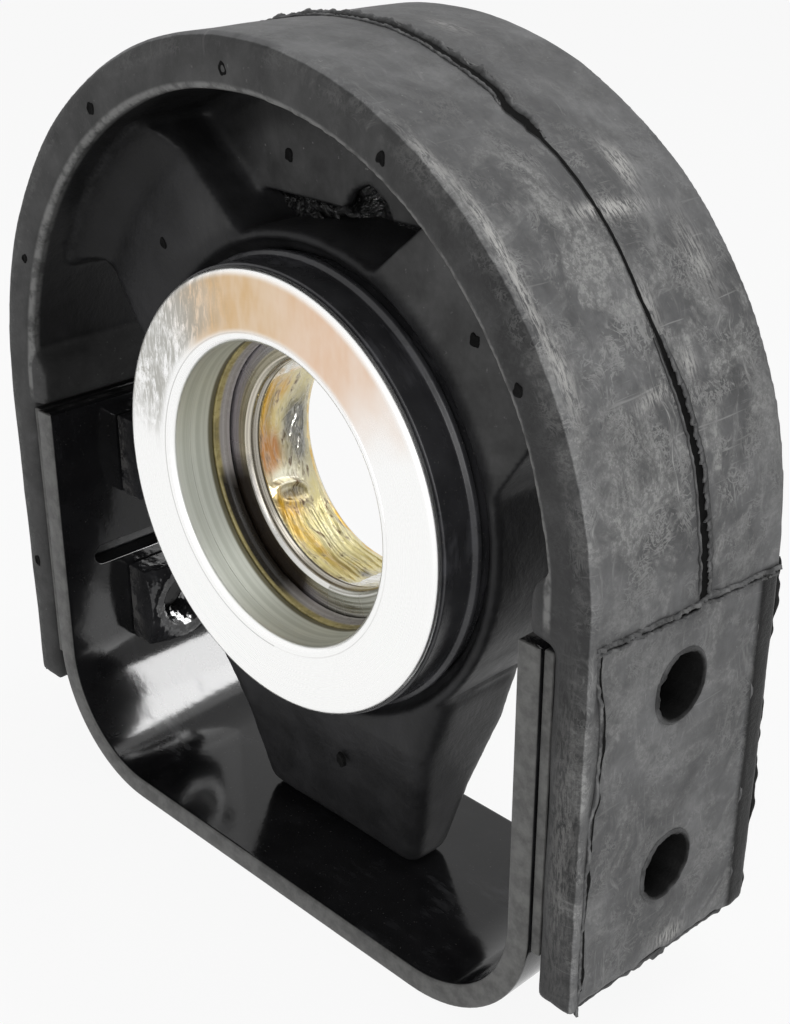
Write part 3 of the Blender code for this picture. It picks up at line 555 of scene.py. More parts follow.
def mount_rubber_finish(looks):
    """Aged moulded rubber: grey and scuffed outside, dark and close inside, with painted shade in
    the bolt holes, the upper-left cove and behind the pads, and a painted highlight along the rim's
    inner edge.
    """
    surface, w, shader = new_surface("aged_mount_rubber")
    if w is None:
        return surface
    place = w.object_place()
    x, y, z = w.split(place)[:3]
    lay = w.attribute("lay", "Vector")
    rim = w.attribute("rim")
    over = w.most(w.minus(z, ARCH_Z), 0.0)
    radius = w.maths("SQRT", w.plus(w.times(x, x), w.times(over, over)))
    from_middle = w.maths("ABSOLUTE", w.minus(y, (FRONT + BACK) / 2))
    corner = w.minus(w.minus(radius, ARCH_RADIUS), w.minus(from_middle, (BACK - FRONT) / 2))
    wobble = w.times(w.minus(w.noise(place, 130.0, 4.0, 0.7), 0.5), 0.0012)
    corner = w.between(w.plus(corner, wobble), -0.0004, 0.0003)
    outside = w.times(w.attribute("outside"), corner)
    painted_shade, scuffed, chalk = w.attribute("painted_shade"), w.attribute("scuffed"), w.attribute("chalk")
    open_side = w.plus(outside, rim, clamp=True)
    grain = w.effect(moulded_grain(), Place=place, Size=0.0012)
    colour = w.blend(rim, looks.hollow_colour, looks.rim_colour)
    colour = w.blend(outside, colour, looks.outer_colour)
    patchy = w.between(w.noise(lay, 42.0, 4.0, 0.6, 0.5), 0.34, 0.66, 0.78, 1.22)
    mottle = w.times(w.between(grain["Mottle"], 0.34, 0.66, 0.80, 1.22), patchy)
    shade = w.add("ShaderNodeCombineColor", {0: mottle, 1: mottle, 2: mottle}).outputs[0]
    colour = w.blend(1.0, colour, shade, "MULTIPLY")
    scuffs = w.effect(dry_scuffs(), Place=lay, Amount=scuffed)
    crumbs = w.between(w.noise(lay, 900.0, 4.0, 0.75), 0.40, 0.62)
    scratch_place = w.stretched(lay, (900, 55, 55), (0, 0, 0.9))
    scratches = w.between(w.noise(scratch_place, 1.0, 2.0, 0.5, 0.6), 0.66, 0.74)
    scratches = w.times(scratches, w.times(scuffed, 0.35))
    specks = w.between(w.noise(place, 620.0, 3.0, 0.6), 0.66, 0.76)
    specks = w.times(specks, w.times(open_side, 0.35), clamp=True)
    rubbed = w.times(w.effect(worn_edges(), Place=place, Start=0.53, End=0.60)["Mask"],
                     w.times(open_side, 0.22))
    # Painted highlight: a thin pale band along the front rim's inner edge, blended in with the
    # scuff colour.
    rim_edge_highlight = w.between(w.maths("ABSOLUTE", w.minus(radius, RIM_INNER + 0.0006)), 0.0014, 0.0004)
    rim_edge_highlight = w.times(rim_edge_highlight, w.times(w.between(y, FRONT + 0.0035, FRONT + 0.0022),
                               w.between(z, ARCH_Z - 0.004, ARCH_Z + 0.002)))
    rim_edge_highlight = w.times(rim_edge_highlight, w.between(w.noise(place, 240.0, 3.0, 0.65), 0.36, 0.58, 0.10, 0.34))
    cloudy = w.times(scuffs["Clouds"], w.between(crumbs, 0.0, 1.0, 0.27, 0.68))
    lines = w.most(w.times(scuffs["Streaks"], 0.85), w.times(scuffs["Curls"], 0.50))
    marks = w.most(w.most(lines, scratches), w.most(specks, rubbed))
    marks = w.times(w.most(marks, cloudy), w.between(corner, 0.0, 1.0, 0.35, 1.0))
    marks = w.most(marks, rim_edge_highlight)
    colour = w.blend(marks, colour, looks.scuff_colour)
    chalky = w.noise(w.stretched(lay, (300, 1500, 1500), (0, 0, 0.12)), 1.0, 5.0, 0.72, 0.5)
    chalky = w.times(w.between(chalky, 0.42, 0.56),
                     w.times(chalk, w.between(corner, 0.0, 1.0, 0.5, 1.0)), clamp=True)
    colour = w.blend(w.times(chalky, 0.85), colour, (0.66, 0.65, 0.63))
    # Painted shade: near black in the bolt holes, the upper-left cove and behind the pads.
    colour = w.blend(w.times(painted_shade, 0.95), colour, NEAR_BLACK)
    rough = w.slide(open_side, 0.42, 0.62)
    rough = w.plus(rough, w.times(w.minus(grain["Mottle"], 0.5), 0.5))
    rough = w.plus(rough, w.times(w.most(marks, chalky), 0.2), clamp=True)
    dents = w.noise(place, 170.0, 2.0, 0.5)
    height = w.plus(w.times(grain["Height"], 0.55), w.times(dents, 0.45))
    height = w.plus(height, w.times(w.times(crumbs, scuffed), 0.2))
    set_shader(w, shader, Base_Color=colour, Roughness=rough, Normal=w.bump(height, 0.45, 0.0007),
               Specular_IOR_Level=0.14)
    return surface


def torn_rubber_finish(looks):
    """Torn flash, ragged: near black at the root as painted shade, grey at the edge, with a painted
    highlight on its palest crests.
    """
    surface, w, shader = new_surface("torn_rubber")
    if w is None:
        return surface
    place = w.object_place()
    grain = w.effect(moulded_grain(), Place=place, Size=0.0006)
    # Painted shade and highlight: edge runs from 0 at a fin's root or inside a hole to 1 at its
    # crest; near black at 0, pale at the top.
    edge = w.attribute("edge")
    share = w.times(edge, w.between(grain["Mottle"], 0.3, 0.7, 0.2, 1.15), clamp=True)
    colour = w.blend(share, NEAR_BLACK, tuple(c * 1.15 for c in looks.outer_colour))
    pale = w.times(w.between(edge, 0.70, 1.0), w.between(w.noise(place, 260.0, 4.0, 0.65), 0.48,
                                                         0.66))
    colour = w.blend(w.times(pale, 0.22), colour, looks.scuff_colour)
    set_shader(w, shader, Base_Color=colour, Roughness=w.between(grain["Mottle"], 0.3, 0.7, 0.42,
                                                                 0.72),
               Normal=w.bump(grain["Height"], 0.6, 0.0005), Specular_IOR_Level=0.2)
    return surface


def painted_shade_finish():
    """Near-black rubber for painted shade: the open seam, the grooves and creases by the pads, the
    flaps behind them and the pips.
    """
    surface, w, shader = new_surface("seam_shadow")
    if w is None:
        return surface
    grain = w.effect(moulded_grain(), Place=w.object_place(), Size=0.0005)
    colour = w.blend(w.between(grain["Mottle"], 0.35, 0.7), (0.003, 0.003, 0.003),
                     (0.014, 0.014, 0.014))
    set_shader(w, shader, Base_Color=colour, Roughness=w.between(grain["Mottle"], 0.3, 0.7, 0.7,
                                                                 0.95),
               Normal=w.bump(grain["Height"], 0.5, 0.0004), Specular_IOR_Level=0.06)
    return surface


def wet_rubber_finish():
    """Shredded web rubber, wet with oil so that its folds glint."""
    surface, w, shader = new_surface("oily_shreds")
    if w is None:
        return surface
    place = w.object_place()
    folds = w.noise(place, 520.0, 4.0, 0.7, 0.9)
    dull = w.noise(place, 180.0, 3.0, 0.6)
    colour = w.blend(w.between(folds, 0.4, 0.7), (0.002, 0.002, 0.002), (0.012, 0.012, 0.013))
    set_shader(w, shader, Base_Color=colour, Roughness=w.between(dull, 0.35, 0.65, 0.12, 0.40),
               Normal=w.bump(folds, 0.9, 0.0012), Specular_IOR_Level=0.3)
    return surface


def painted_steel_finish(name, looks, gloss, dust, peel, shine=0.3, lumps=0.05, tone=1.0,
                         cut_edge=None, coarse=420.0):
    """Black paint over steel, with orange peel, smears, dust and rubbed edges."""
    surface, w, shader = new_surface(name)
    if w is None:
        return surface
    place = w.object_place()
    smears = w.effect(handled_dust(), Place=place, Amount=dust)
    edges = w.effect(worn_edges(), Place=place, Start=0.56, End=0.68)["Mask"]
    shade = w.between(w.noise(place, 55.0, 4.0, 0.6), 0.3, 0.7, 0.0, 1.0)
    colour = w.blend(shade, tuple(c * tone for c in looks.paint),
                     tuple(c * tone * 1.9 for c in looks.paint))
    colour = w.blend(w.times(smears["Mask"], 0.45), colour, (0.085, 0.086, 0.094))
    colour = w.blend(w.times(smears["Specks"], 0.6), colour, (0.18, 0.17, 0.16))
    colour = w.blend(w.times(edges, 0.55), colour, (0.16, 0.155, 0.15))
    rough = w.plus(gloss, w.times(smears["Mask"], 0.32))
    rough = w.plus(rough, w.times(edges, 0.25), clamp=True)
    # The front face, lighter grey and rougher: partly bare steel where it was sheared, partly a
    # painted reflection of the pale surroundings.
    if cut_edge is not None:
        cut = w.between(w.split(place)[1], cut_edge + 0.0007, cut_edge + 0.0003)
        bare_and_sheen = w.blend(w.between(w.noise(place, 260.0, 4.0, 0.65), 0.3, 0.7), (0.085, 0.084, 0.082),
                      (0.16, 0.16, 0.155))
        colour = w.blend(w.times(cut, 0.85), colour, bare_and_sheen)
        rough = w.plus(rough, w.times(cut, 0.35), clamp=True)
    waves = w.noise(place, coarse, 2.0, 0.5)
    runs = w.noise(w.stretched(place, (40, 40, 16)), 1.0, 2.0, 0.5)
    height = w.plus(w.times(waves, peel), runs)
    set_shader(w, shader, Base_Color=colour, Roughness=rough, Normal=w.bump(height, lumps, 0.0012),
               Specular_IOR_Level=shine)
    return surface


def plated_cover_finish(looks):
    """Bright plated steel with buffing rings, grey scratches, a painted gold-to-peach reflection
    and painted shade round the bore lip.
    """
    surface, w, shader = new_surface("bright_plate")
    if w is None:
        return surface
    place = w.object_place()
    rings = w.effect(lathe_lines(), Place=place)
    y = w.split(place)[1]
    radius = rings["Radius"]
    drift = w.times(w.minus(w.noise(place, 55.0, 3.0, 0.6), 0.5), 26.0)
    turn = w.plus(rings["Turn"], drift)
    face = w.between(y, -0.0256, -0.0268)
    flat = w.times(face, w.times(w.between(radius, 0.0400, 0.0420),
                                 w.between(radius, 0.0556, 0.0536)))
    # Painted reflection: a gold to peach tint over the upper right of the flat face.
    warm_reflection = w.times(w.between(turn, 22.0, 62.0), w.between(turn, 142.0, 112.0))
    streak = w.between(w.noise(w.stretched(place, (150, 20, 60)), 1.0, 3.0, 0.6), 0.3, 0.7, 0.78,
                       1.0)
    warm_reflection = w.times(w.times(warm_reflection, flat), streak)
    grey = w.times(w.between(turn, 102.0, 128.0), w.between(turn, 182.0, 158.0))
    grey = w.times(grey, w.times(face, w.between(radius, 0.0410, 0.0440)))
    hatch = w.noise(w.stretched(place, (620, 90, 150), (0, 0.75, 0)), 1.0, 4.0, 0.72, 0.5)
    cross = w.noise(w.stretched(place, (620, 90, 150), (0, -0.6, 0)), 1.0, 4.0, 0.72, 0.5)
    clouds = w.noise(place, 330.0, 4.0, 0.7)
    rub = w.most(w.between(hatch, 0.40, 0.60), w.between(cross, 0.46, 0.64))
    grey = w.times(grey, w.most(rub, w.between(clouds, 0.45, 0.68)))
    wall = w.times(w.between(radius, 0.0394, 0.0384), w.between(y, -0.0266, -0.0252))
    tint = w.blend(w.between(turn, 62.0, 98.0), looks.peach, looks.gold)
    colour = w.blend(w.times(warm_reflection, 0.95), looks.plate, tint)
    colour = w.blend(w.times(grey, 0.72), colour, (0.30, 0.29, 0.25))
    # Painted shade: a thin grey ring in the groove round the bore lip, strongest at the upper left.
    groove_shade = w.between(w.maths("ABSOLUTE", w.minus(radius, 0.0407)), 0.00028, 0.00008)
    groove_shade = w.times(w.times(groove_shade, face), w.between(turn, 100.0, 170.0, 0.25, 1.0))
    colour = w.blend(w.times(groove_shade, 0.55), colour, (0.30, 0.29, 0.27))
    cool = w.blend(w.between(rings["Bands"], 0.35, 0.65), (0.50, 0.52, 0.46), (0.62, 0.64, 0.58))
    colour = w.blend(wall, colour, cool)
    oily = w.times(wall, w.between(y, -0.0160, -0.0151))
    colour = w.blend(w.times(oily, 0.9), colour, (0.105, 0.092, 0.042))
    lines = w.between(rings["Height"], 0.3, 0.7)
    rough = w.plus(0.22, w.times(lines, 0.08))
    rough = w.plus(rough, w.times(w.most(warm_reflection, grey), 0.12))
    rough = w.plus(rough, w.times(wall, 0.22), clamp=True)
    height = w.plus(w.times(rings["Height"], 0.5), w.times(clouds, 0.3))
    height = w.minus(height, w.times(w.most(grey, groove_shade), 0.5))
    set_shader(w, shader, Base_Color=colour, Roughness=rough,
               Metallic=w.minus(0.95, w.times(wall, 0.2)), Normal=w.bump(height, 0.16, 0.0003))
    return surface


def race_steel_finish(looks):
    """The inner ring: greased bearing steel, banded on its face and amber inside its bore, with a
    painted highlight on its bore edge at the lower left.
    """
    surface, w, shader = new_surface("greased_race_steel")
    if w is None:
        return surface
    place = w.object_place()
    rings = w.effect(lathe_lines(), Place=place)
    y = w.split(place)[1]
    radius, turn = rings["Radius"], rings["Turn"]
    polar = w.add("ShaderNodeCombineXYZ", {"X": w.times(turn, 0.0005), "Y": y}).outputs[0]
    film = w.noise(w.stretched(polar, (60, 330, 1)), 1.0, 4.0, 0.65, 1.1)
    thick = w.noise(w.stretched(polar, (90, 150, 1), (0, 0, 0.3)), 1.0, 3.0, 0.6, 0.7)
    sway = w.times(w.minus(thick, 0.5), 40.0)
    turned = w.plus(turn, sway)
    bands = w.between(rings["Bands"], 0.38, 0.62)
    steel = w.blend(bands, (0.26, 0.25, 0.21), (0.62, 0.61, 0.57))
    plum = w.blend(w.between(rings["Height"], 0.3, 0.7), (0.36, 0.34, 0.36), (0.50, 0.47, 0.50))
    tan = w.blend(bands, (0.34, 0.30, 0.22), (0.62, 0.56, 0.45))
    face = w.blend(w.between(radius, 0.0343, 0.0335), plum, tan)
    face = w.blend(w.times(w.between(turned, 184.0, 204.0), w.between(turned, 262.0, 244.0)), face,
                   (0.050, 0.036, 0.026))
    face = w.blend(w.most(w.between(turned, 252.0, 272.0), w.between(turned, 40.0, 10.0)), face,
                   steel)
    # Painted highlight: a pale ring at the bore's edge, strongest at the lower left.
    bore_edge_highlight = w.times(w.between(radius, 0.0318, 0.0313), w.between(radius, 0.0301, 0.0304))
    bore_edge_highlight = w.times(bore_edge_highlight, w.between(turned, 205.0, 250.0, 0.22, 0.90))
    face = w.blend(bore_edge_highlight, face, (0.80, 0.79, 0.76))
    bore = w.between(radius, 0.03042, 0.03030)
    amber = w.blend(w.between(thick, 0.35, 0.68), (0.80, 0.74, 0.52), looks.grease)
    amber = w.blend(w.between(film, 0.60, 0.80), amber, (0.20, 0.12, 0.03))
    pale = w.blend(bands, (0.74, 0.74, 0.72), (0.86, 0.86, 0.84))
    greased = w.times(w.between(turned, 132.0, 150.0), w.between(turned, 292.0, 274.0))
    inside = w.blend(greased, pale, amber)
    mouth = w.blend(bands, (0.17, 0.15, 0.12), (0.46, 0.43, 0.37))
    mouth = w.blend(w.between(turned, 262.0, 290.0), mouth, steel)
    inside = w.blend(w.between(y, -0.0050, -0.0058), inside, mouth)
    rim_line = w.between(w.maths("ABSOLUTE", w.plus(y, 0.0054)), 0.00045, 0.00015)
    inside = w.blend(w.times(rim_line, 0.8), inside, (0.030, 0.022, 0.012))
    colour = w.blend(bore, face, inside)
    rough = w.between(film, 0.3, 0.7, 0.12, 0.32)
    height = w.plus(film, w.times(thick, 0.8))
    height = w.times(height, w.times(bore, w.between(y, -0.0058, -0.0048)))
    height = w.plus(height, w.times(rings["Bands"], 0.35))
    set_shader(w, shader, Base_Color=colour, Roughness=rough, Metallic=0.8,
               Normal=w.bump(height, 0.5, 0.0009), Coat_Weight=0.4, Coat_Roughness=0.06)
    return surface


def turned_steel_finish(name, colour_low, colour_high, gloss):
    """Plain turned or ground steel with fine rings and faint oil."""
    surface, w, shader = new_surface(name)
    if w is None:
        return surface
    place = w.object_place()
    rings = w.effect(lathe_lines(), Place=place)
    oil = w.noise(place, 80.0, 4.0, 0.6, 0.6)
    colour = w.blend(w.between(oil, 0.35, 0.68), colour_low, colour_high)
    rough = w.plus(gloss, w.times(w.between(oil, 0.3, 0.7), 0.14))
    set_shader(w, shader, Base_Color=colour, Roughness=rough, Metallic=1.0,
               Normal=w.bump(rings["Height"], 0.14, 0.0003))
    return surface


def plain_rubber_finish(name, low, high, gloss, size):
    """Seal rubber with fine grain and a wiped, uneven shade."""
    surface, w, shader = new_surface(name)
    if w is None:
        return surface
    place = w.object_place()
    grain = w.effect(moulded_grain(), Place=place, Size=size)
    colour = w.blend(w.between(grain["Mottle"], 0.35, 0.65), low, high)
    rough = w.plus(gloss, w.times(w.between(grain["Mottle"], 0.3, 0.7), 0.2))
    set_shader(w, shader, Base_Color=colour, Roughness=rough,
               Normal=w.bump(grain["Height"], 0.3, 0.0003))
    return surface


def lip_seal_finish(looks):
    """The lip seal: an olive edge, then grey-brown and nearly black at the lower left."""
    surface, w, shader = new_surface("olive_lip_rubber")
    if w is None:
        return surface
    place = w.object_place()
    rings = w.effect(lathe_lines(), Place=place)
    grain = w.effect(moulded_grain(), Place=place, Size=0.0007)
    y = w.split(place)[1]
    sway = w.times(w.minus(w.noise(place, 60.0, 3.0), 0.5), 30.0)
    turn = w.plus(rings["Turn"], sway)
    olive = w.blend(w.between(grain["Mottle"], 0.35, 0.65), tuple(c * 0.5 for c in looks.olive),
                    looks.olive)
    plum = w.blend(w.between(rings["Bands"], 0.35, 0.65), (0.30, 0.28, 0.27), (0.46, 0.43, 0.42))
    colour = w.blend(w.between(y, -0.0126, -0.0118), olive, plum)
    black = w.times(w.between(turn, 186.0, 202.0), w.between(turn, 268.0, 240.0))
    colour = w.blend(w.times(black, w.between(y, -0.0134, -0.0128)), colour, (0.012, 0.009, 0.006))
    set_shader(w, shader, Base_Color=colour, Roughness=w.between(grain["Mottle"], 0.3, 0.7, 0.16,
                                                                 0.36),
               Normal=w.bump(w.plus(grain["Height"], rings["Bands"]), 0.3, 0.0003),
               Specular_IOR_Level=0.4)
    return surface


def grease_finish():
    """Thick amber grease, wet and wrinkled, tinted as it lies."""
    surface, w, shader = new_surface("amber_grease")
    if w is None:
        return surface
    place = w.object_place()
    tint, shine = w.attribute("tint", "Vector"), w.attribute("depth")
    thick = w.noise(place, 260.0, 4.0, 0.6, 0.8)
    streak = w.noise(w.stretched(place, (120, 420, 120)), 1.0, 3.0, 0.6, 1.4)
    pale = w.blend(w.between(thick, 0.40, 0.66), (0.86, 0.82, 0.66), (0.96, 0.95, 0.88))
    colour = w.blend(w.between(streak, 0.46, 0.60, 0.0, 0.25), tint, pale)
    colour = w.blend(w.times(w.between(streak, 0.55, 0.68), w.between(thick, 0.35, 0.6)), colour,
                     w.blend(1.0, tint, (0.20, 0.13, 0.08), "MULTIPLY"))
    colour = w.blend(w.between(shine, 0.30, 0.0, 0.0, 0.35), colour, (0.50, 0.47, 0.36))
    height = w.plus(thick, w.times(streak, 0.8))
    set_shader(w, shader, Base_Color=colour, Roughness=w.between(streak, 0.3, 0.7, 0.06, 0.22),
               Normal=w.bump(height, 0.45, 0.0008), Coat_Weight=0.5, Coat_Roughness=0.04,
               Metallic=0.55)
    return surface


# Rubber mount


def round_to(points, normals, centre_z, radius, reach, keep):
    """Draw the skin's points near a radius about a Y axis onto it, where they face along it."""
    across, up = points[:, 0], points[:, 2] - centre_z
    distance = np.hypot(across, up)
    facing = np.abs(normals[:, 0] * across + normals[:, 2] * up) / np.maximum(distance, 1e-9)
    share = smooth_share(facing, 0.90, 0.97) * (np.abs(distance - radius) < reach) * keep
    factor = 1 + share * (radius / np.maximum(distance, 1e-9) - 1)
    points[:, 0] = across * factor
    points[:, 2] = centre_z + up * factor


def skin_arrays(mesh):
    count = len(mesh.vertices)
    points, normals = np.zeros(count * 3), np.zeros(count * 3)
    mesh.vertices.foreach_get("co", points)
    mesh.vertices.foreach_get("normal", normals)
    return points.reshape(-1, 3), normals.reshape(-1, 3)


def skin_attribute(mesh, name, values, kind="FLOAT"):
    made = mesh.attributes.new(name, kind, "POINT")
    field = "vector" if kind == "FLOAT_VECTOR" else "value"
    made.data.foreach_set(field, np.asarray(values, np.float32).ravel())


# Marks on the arch: degrees, y, how wide in each, strength and slant in degrees a millimetre
RUBBED = (
    (33, -0.010, 13, 0.014, 0.75, 0), (14, -0.014, 12, 0.017, 0.85, 0),
    (30, 0.021, 11, 0.010, 0.80, 0), (24, 0.008, 14, 0.008, 0.55, 0),
    (42, -0.0300, 22, 0.0030, 0.60, 0), (48, -0.012, 10, 0.008, 0.45, 0),
    (50, 0.0060, 6, 0.008, 0.35, 0), (8, 0.018, 10, 0.014, 0.45, 0),
    (112, -0.010, 14, 0.018, 0.30, 0), (150, 0.004, 22, 0.020, 0.40, 0),
)
CHALKED = (
    (45.3, 0.0035, 1.0, 0.0095, 1.5, -0.06), (50.0, 0.0145, 3.0, 0.0016, 1.3, 0),
    (50.5, 0.0172, 2.2, 0.0009, 1.1, 0), (81, 0.015, 3.5, 0.0028, 0.45, 0),
    (46.5, -0.0300, 6.5, 0.0013, 1.0, 0), (38, -0.0306, 6.5, 0.0012, 0.85, 0),
    (57.0, -0.0315, 5.0, 0.0010, 0.7, 0), (29.5, -0.0292, 4.5, 0.0022, 0.8, 0),
    (24.0, -0.0060, 0.9, 0.0070, 0.8, 0.10), (26.0, 0.0068, 1.6, 0.0020, 0.9, 0),
    (33.5, 0.0010, 3.5, 0.0020, 0.6, 0), (37.0, 0.0215, 4.5, 0.0036, 0.6, 0),
)
# The open seam: its y and half its width in millimetres, by the angle in degrees
SEAM_ANGLES = (-3, 1.3, 8.3, 16.6, 23, 29, 34, 44.8, 52.7, 58.8, 61.5, 64, 71, 77.6, 82.9, 95, 120,
               150, 160, 168, 176, 183)
SEAM_DRIFTS = (3.6, 3.5, 2.5, 2.3, 1.2, -0.2, -0.9, 0.3, -0.1, -0.6, -2.0, -0.1, -0.1, 0.8, 1.6,
               1.2, 0.5, -0.2, 1.0, 2.3, 2.8, 3.4)
GAP_ANGLES = (-3, 5, 24, 29, 40, 56, 57.5, 61, 62.5, 68, 90, 104, 112, 150, 158, 166, 183)
GAP_HALVES = (1.35, 1.5, 1.25, 0.6, 0.45, 0.55, 1.6, 1.5, 0.7, 0.95, 0.8, 0.7, 0.3, 0.3, 1.1, 1.35,
              1.3)


def marks_at(marks, angle, along):
    """How strong the listed marks are at each point of the arch, by its angle and its y."""
    total = 0.0
    for at_angle, at_y, wide_angle, wide_y, strength, slant in marks:
        bent = angle - at_angle - slant * (along - at_y) * 1000
        away = (bent / wide_angle) ** 2 + ((along - at_y) / wide_y) ** 2
        total = total + strength * np.exp(-away)
    return total


class RubberMountMaker(bpy.types.Operator):
    """Skin the rubber mount's solid with a fine, slightly uneven moulded surface"""

    bl_idname = "centre_bearing.rubber_mount"
    bl_label = "Rubber Mount"

    def execute(self, context):
        looks = context.scene.rubber_looks
        helper = loose("mount_helper", merged_copy("rubber_mount"))
        remesh = helper.modifiers.new("skin", "REMESH")
        remesh.mode = "VOXEL"
        remesh.voxel_size = looks.cell
        mesh = evaluated_mesh(helper)
        shape = bmesh.new()
        shape.from_mesh(mesh)
        bmesh.ops.smooth_vert(shape, verts=shape.verts, factor=0.5, use_axis_x=True,
                              use_axis_y=True, use_axis_z=True)
        shape.to_mesh(mesh)
        shape.free()
        points, normals = skin_arrays(mesh)
        over = points[:, 2] > ARCH_Z
        for radius, centre_z, reach in ((ARCH_RADIUS, ARCH_Z, 0.0006), (RIM_INNER, ARCH_Z, 0.0006),
                                        (HUB_RADIUS, AXIS_Z, 0.0006)):
            keep = over if radius != HUB_RADIUS else np.ones(len(points), bool)
            round_to(points, normals, centre_z, radius, reach, keep)
        self.paint(mesh, points, normals)
        self.weather(points, normals, looks)
        mesh.vertices.foreach_set("co", points.ravel())
        mesh.update()
        piece = dressed("mount_skin", mesh, mount_rubber_finish(looks),
                        replaces=("rubber_mount",), sharp=180.0)
        if len(piece.data.polygons) < 10000:
            raise RuntimeError("the rubber mount's skin came out empty")
        return {"FINISHED"}

    def paint(self, mesh, points, normals):
        """Mark where the skin is outside, on a rim face, rubbed or chalky, and where light and
        shade are painted: shade in the bolt holes, the upper-left cove, behind the pads and on the
        rim's right shoulder, and light on the wings' fronts.
        """
        across, along, up = points[:, 0], points[:, 1], points[:, 2] - ARCH_Z
        distance = np.where(up > 0, np.hypot(across, up), np.abs(across))
        outside = smooth_share(distance, ARCH_RADIUS - 0.0050, ARCH_RADIUS - 0.0040)
        facing = smooth_share(np.abs(normals[:, 1]), 0.55, 0.8)
        on_rim = smooth_share(np.abs(along - (FRONT + BACK) / 2), BACK - 0.0032, BACK - 0.0018)
        band = smooth_share(distance, 0.0862, 0.0875)
        rim = np.clip(on_rim * band, 0, 1) * (1 - outside * (1 - facing))
        side_face = (up < 0.012) * smooth_share(distance, 0.0862, 0.0868) * (np.abs(across) > 0.086)
        rim = np.maximum(rim, side_face * (1 - outside) * 0.8)
        angle = np.degrees(np.arctan2(np.maximum(up, 0), across))
        run = np.radians(angle) * ARCH_RADIUS + np.where(up < 0, up, 0) * np.sign(across)
        # Painted shade: near black behind the pads' back edges, in the upper-left cove under the
        # rim and inside the bolt holes.
        painted_shade = outside * smooth_share(along, 0.0262, 0.0270) * smooth_share(up, -0.0040, -0.0062)
        cove = smooth_share(distance, 0.0770, 0.0840) * (distance < RIM_INNER
                                                         + 0.0008) * (np.abs(along) < 0.0320)
        painted_shade = np.maximum(painted_shade, 0.62 * cove * smooth_share(angle, 55, 80))
        for height in BOLT_LEVELS.values():
            from_bolt = np.hypot(along, points[:, 2] - height)
            painted_shade = np.maximum(painted_shade, smooth_share(from_bolt, 0.0086, 0.0081)
                               * (np.abs(across) > 0.090))
        skin_attribute(mesh, "lay", np.stack([run, along, distance], 1), "FLOAT_VECTOR")
        # Painted light: the wings' front faces right of the middle take up to the rim colour,
        # lighter as if lit.
        wing = smooth_share(-normals[:, 1], 0.6, 0.9) * (distance < 0.0870) * (points[:, 2] > AXIS_Z
                                                                               - 0.02)
        wing = 1.2 * wing * smooth_share(np.hypot(across, points[:, 2] - AXIS_Z), HUB_RADIUS,
                                         HUB_RADIUS + 0.003)
        skin_attribute(mesh, "outside", outside * (1 - np.clip(painted_shade, 0, 1)))
        # Painted shade: the rim face is darker on the right shoulder and on the legs.
        shade = 1 - 0.55 * smooth_share(across, 0.02, 0.06) * smooth_share(angle, 62, 40)
        wing = wing * smooth_share(across, -0.05, -0.01)
        skin_attribute(mesh, "rim", np.clip(np.maximum(rim * shade, wing), 0, 1))
        skin_attribute(mesh, "painted_shade", np.clip(painted_shade, 0, 1))
        rubbed = 0.22 + 0.06 * np.sin(np.radians(angle) * 3) + marks_at(RUBBED, angle, along)
        rubbed = rubbed * (up > 0) + 0.45 * (up <= 0)
        edge = np.exp(-((along - FRONT) / 0.0016) ** 2) * 0.22
        leg = np.clip((distance - 0.092) / 0.012, 0, 1) * smooth_share(along, FRONT + 0.004,
                                                                       FRONT + 0.001)
        leg = leg * (up <= 0) * (across > 0) * np.exp(-((up + 0.052) / 0.034) ** 2)
        scuffed = (1.25 * rubbed + edge) * np.maximum(outside, 0.2 * rim) + 0.22 * leg
        skin_attribute(mesh, "scuffed", np.clip(scuffed, 0, 1.2))
        chalk = marks_at(CHALKED, angle, along) * (up > 0) * outside
        pad_mark = np.exp(-(((along - 0.0035) / 0.0050) ** 2 + ((points[:, 2] - 0.0235) / 0.0022)
                            ** 2))
        flecks = leg * np.exp(-((across - 0.0985) / 0.0035) ** 2)
        chalk = chalk + pad_mark * outside * (across > 0) + 0.6 * flecks
        skin_attribute(mesh, "chalk", np.clip(chalk, 0, 1.5))

    def weather(self, points, normals, looks):
        """Let the surface wander a little, and leave the legs' lower ends ragged."""
        for index, (x, y, z) in enumerate(points):
            push = wander(x, y, z, 0.019) * looks.waviness + wander(x, y, z, 0.006,
                                                                    2) * looks.waviness * 0.3
            points[index] += normals[index] * push
        low = ARCH_Z - 0.0983
        for index in np.nonzero(points[:, 2] < low + 0.009)[0]:
            x, y, z = points[index]
            if abs(x) < 0.093:
                continue
            tear = wander(0, y, 0, 0.0075, 4) * 0.0011 + wander(x, y, 0, 0.0024, 5) * 0.0006
            points[index, 2] += tear * smooth_share(z, low + 0.009, low + 0.002)


# Flash and pips


def seam_line(angle):
    """The y of the open seam at an angle round the arch."""
    sway = 0.0003 * bumpy(angle / 2.6, 0.3, 0.7)
    return sway + 0.001 * float(np.interp(angle, SEAM_ANGLES, SEAM_DRIFTS))


def seam_half(angle):
    """Half the width of the seam's opening at an angle round the arch."""
    rough = 1 + 0.30 * bumpy(angle * 0.9, 4.0, 7.0)
    return 0.001 * rough * float(np.interp(angle, GAP_ANGLES, GAP_HALVES))


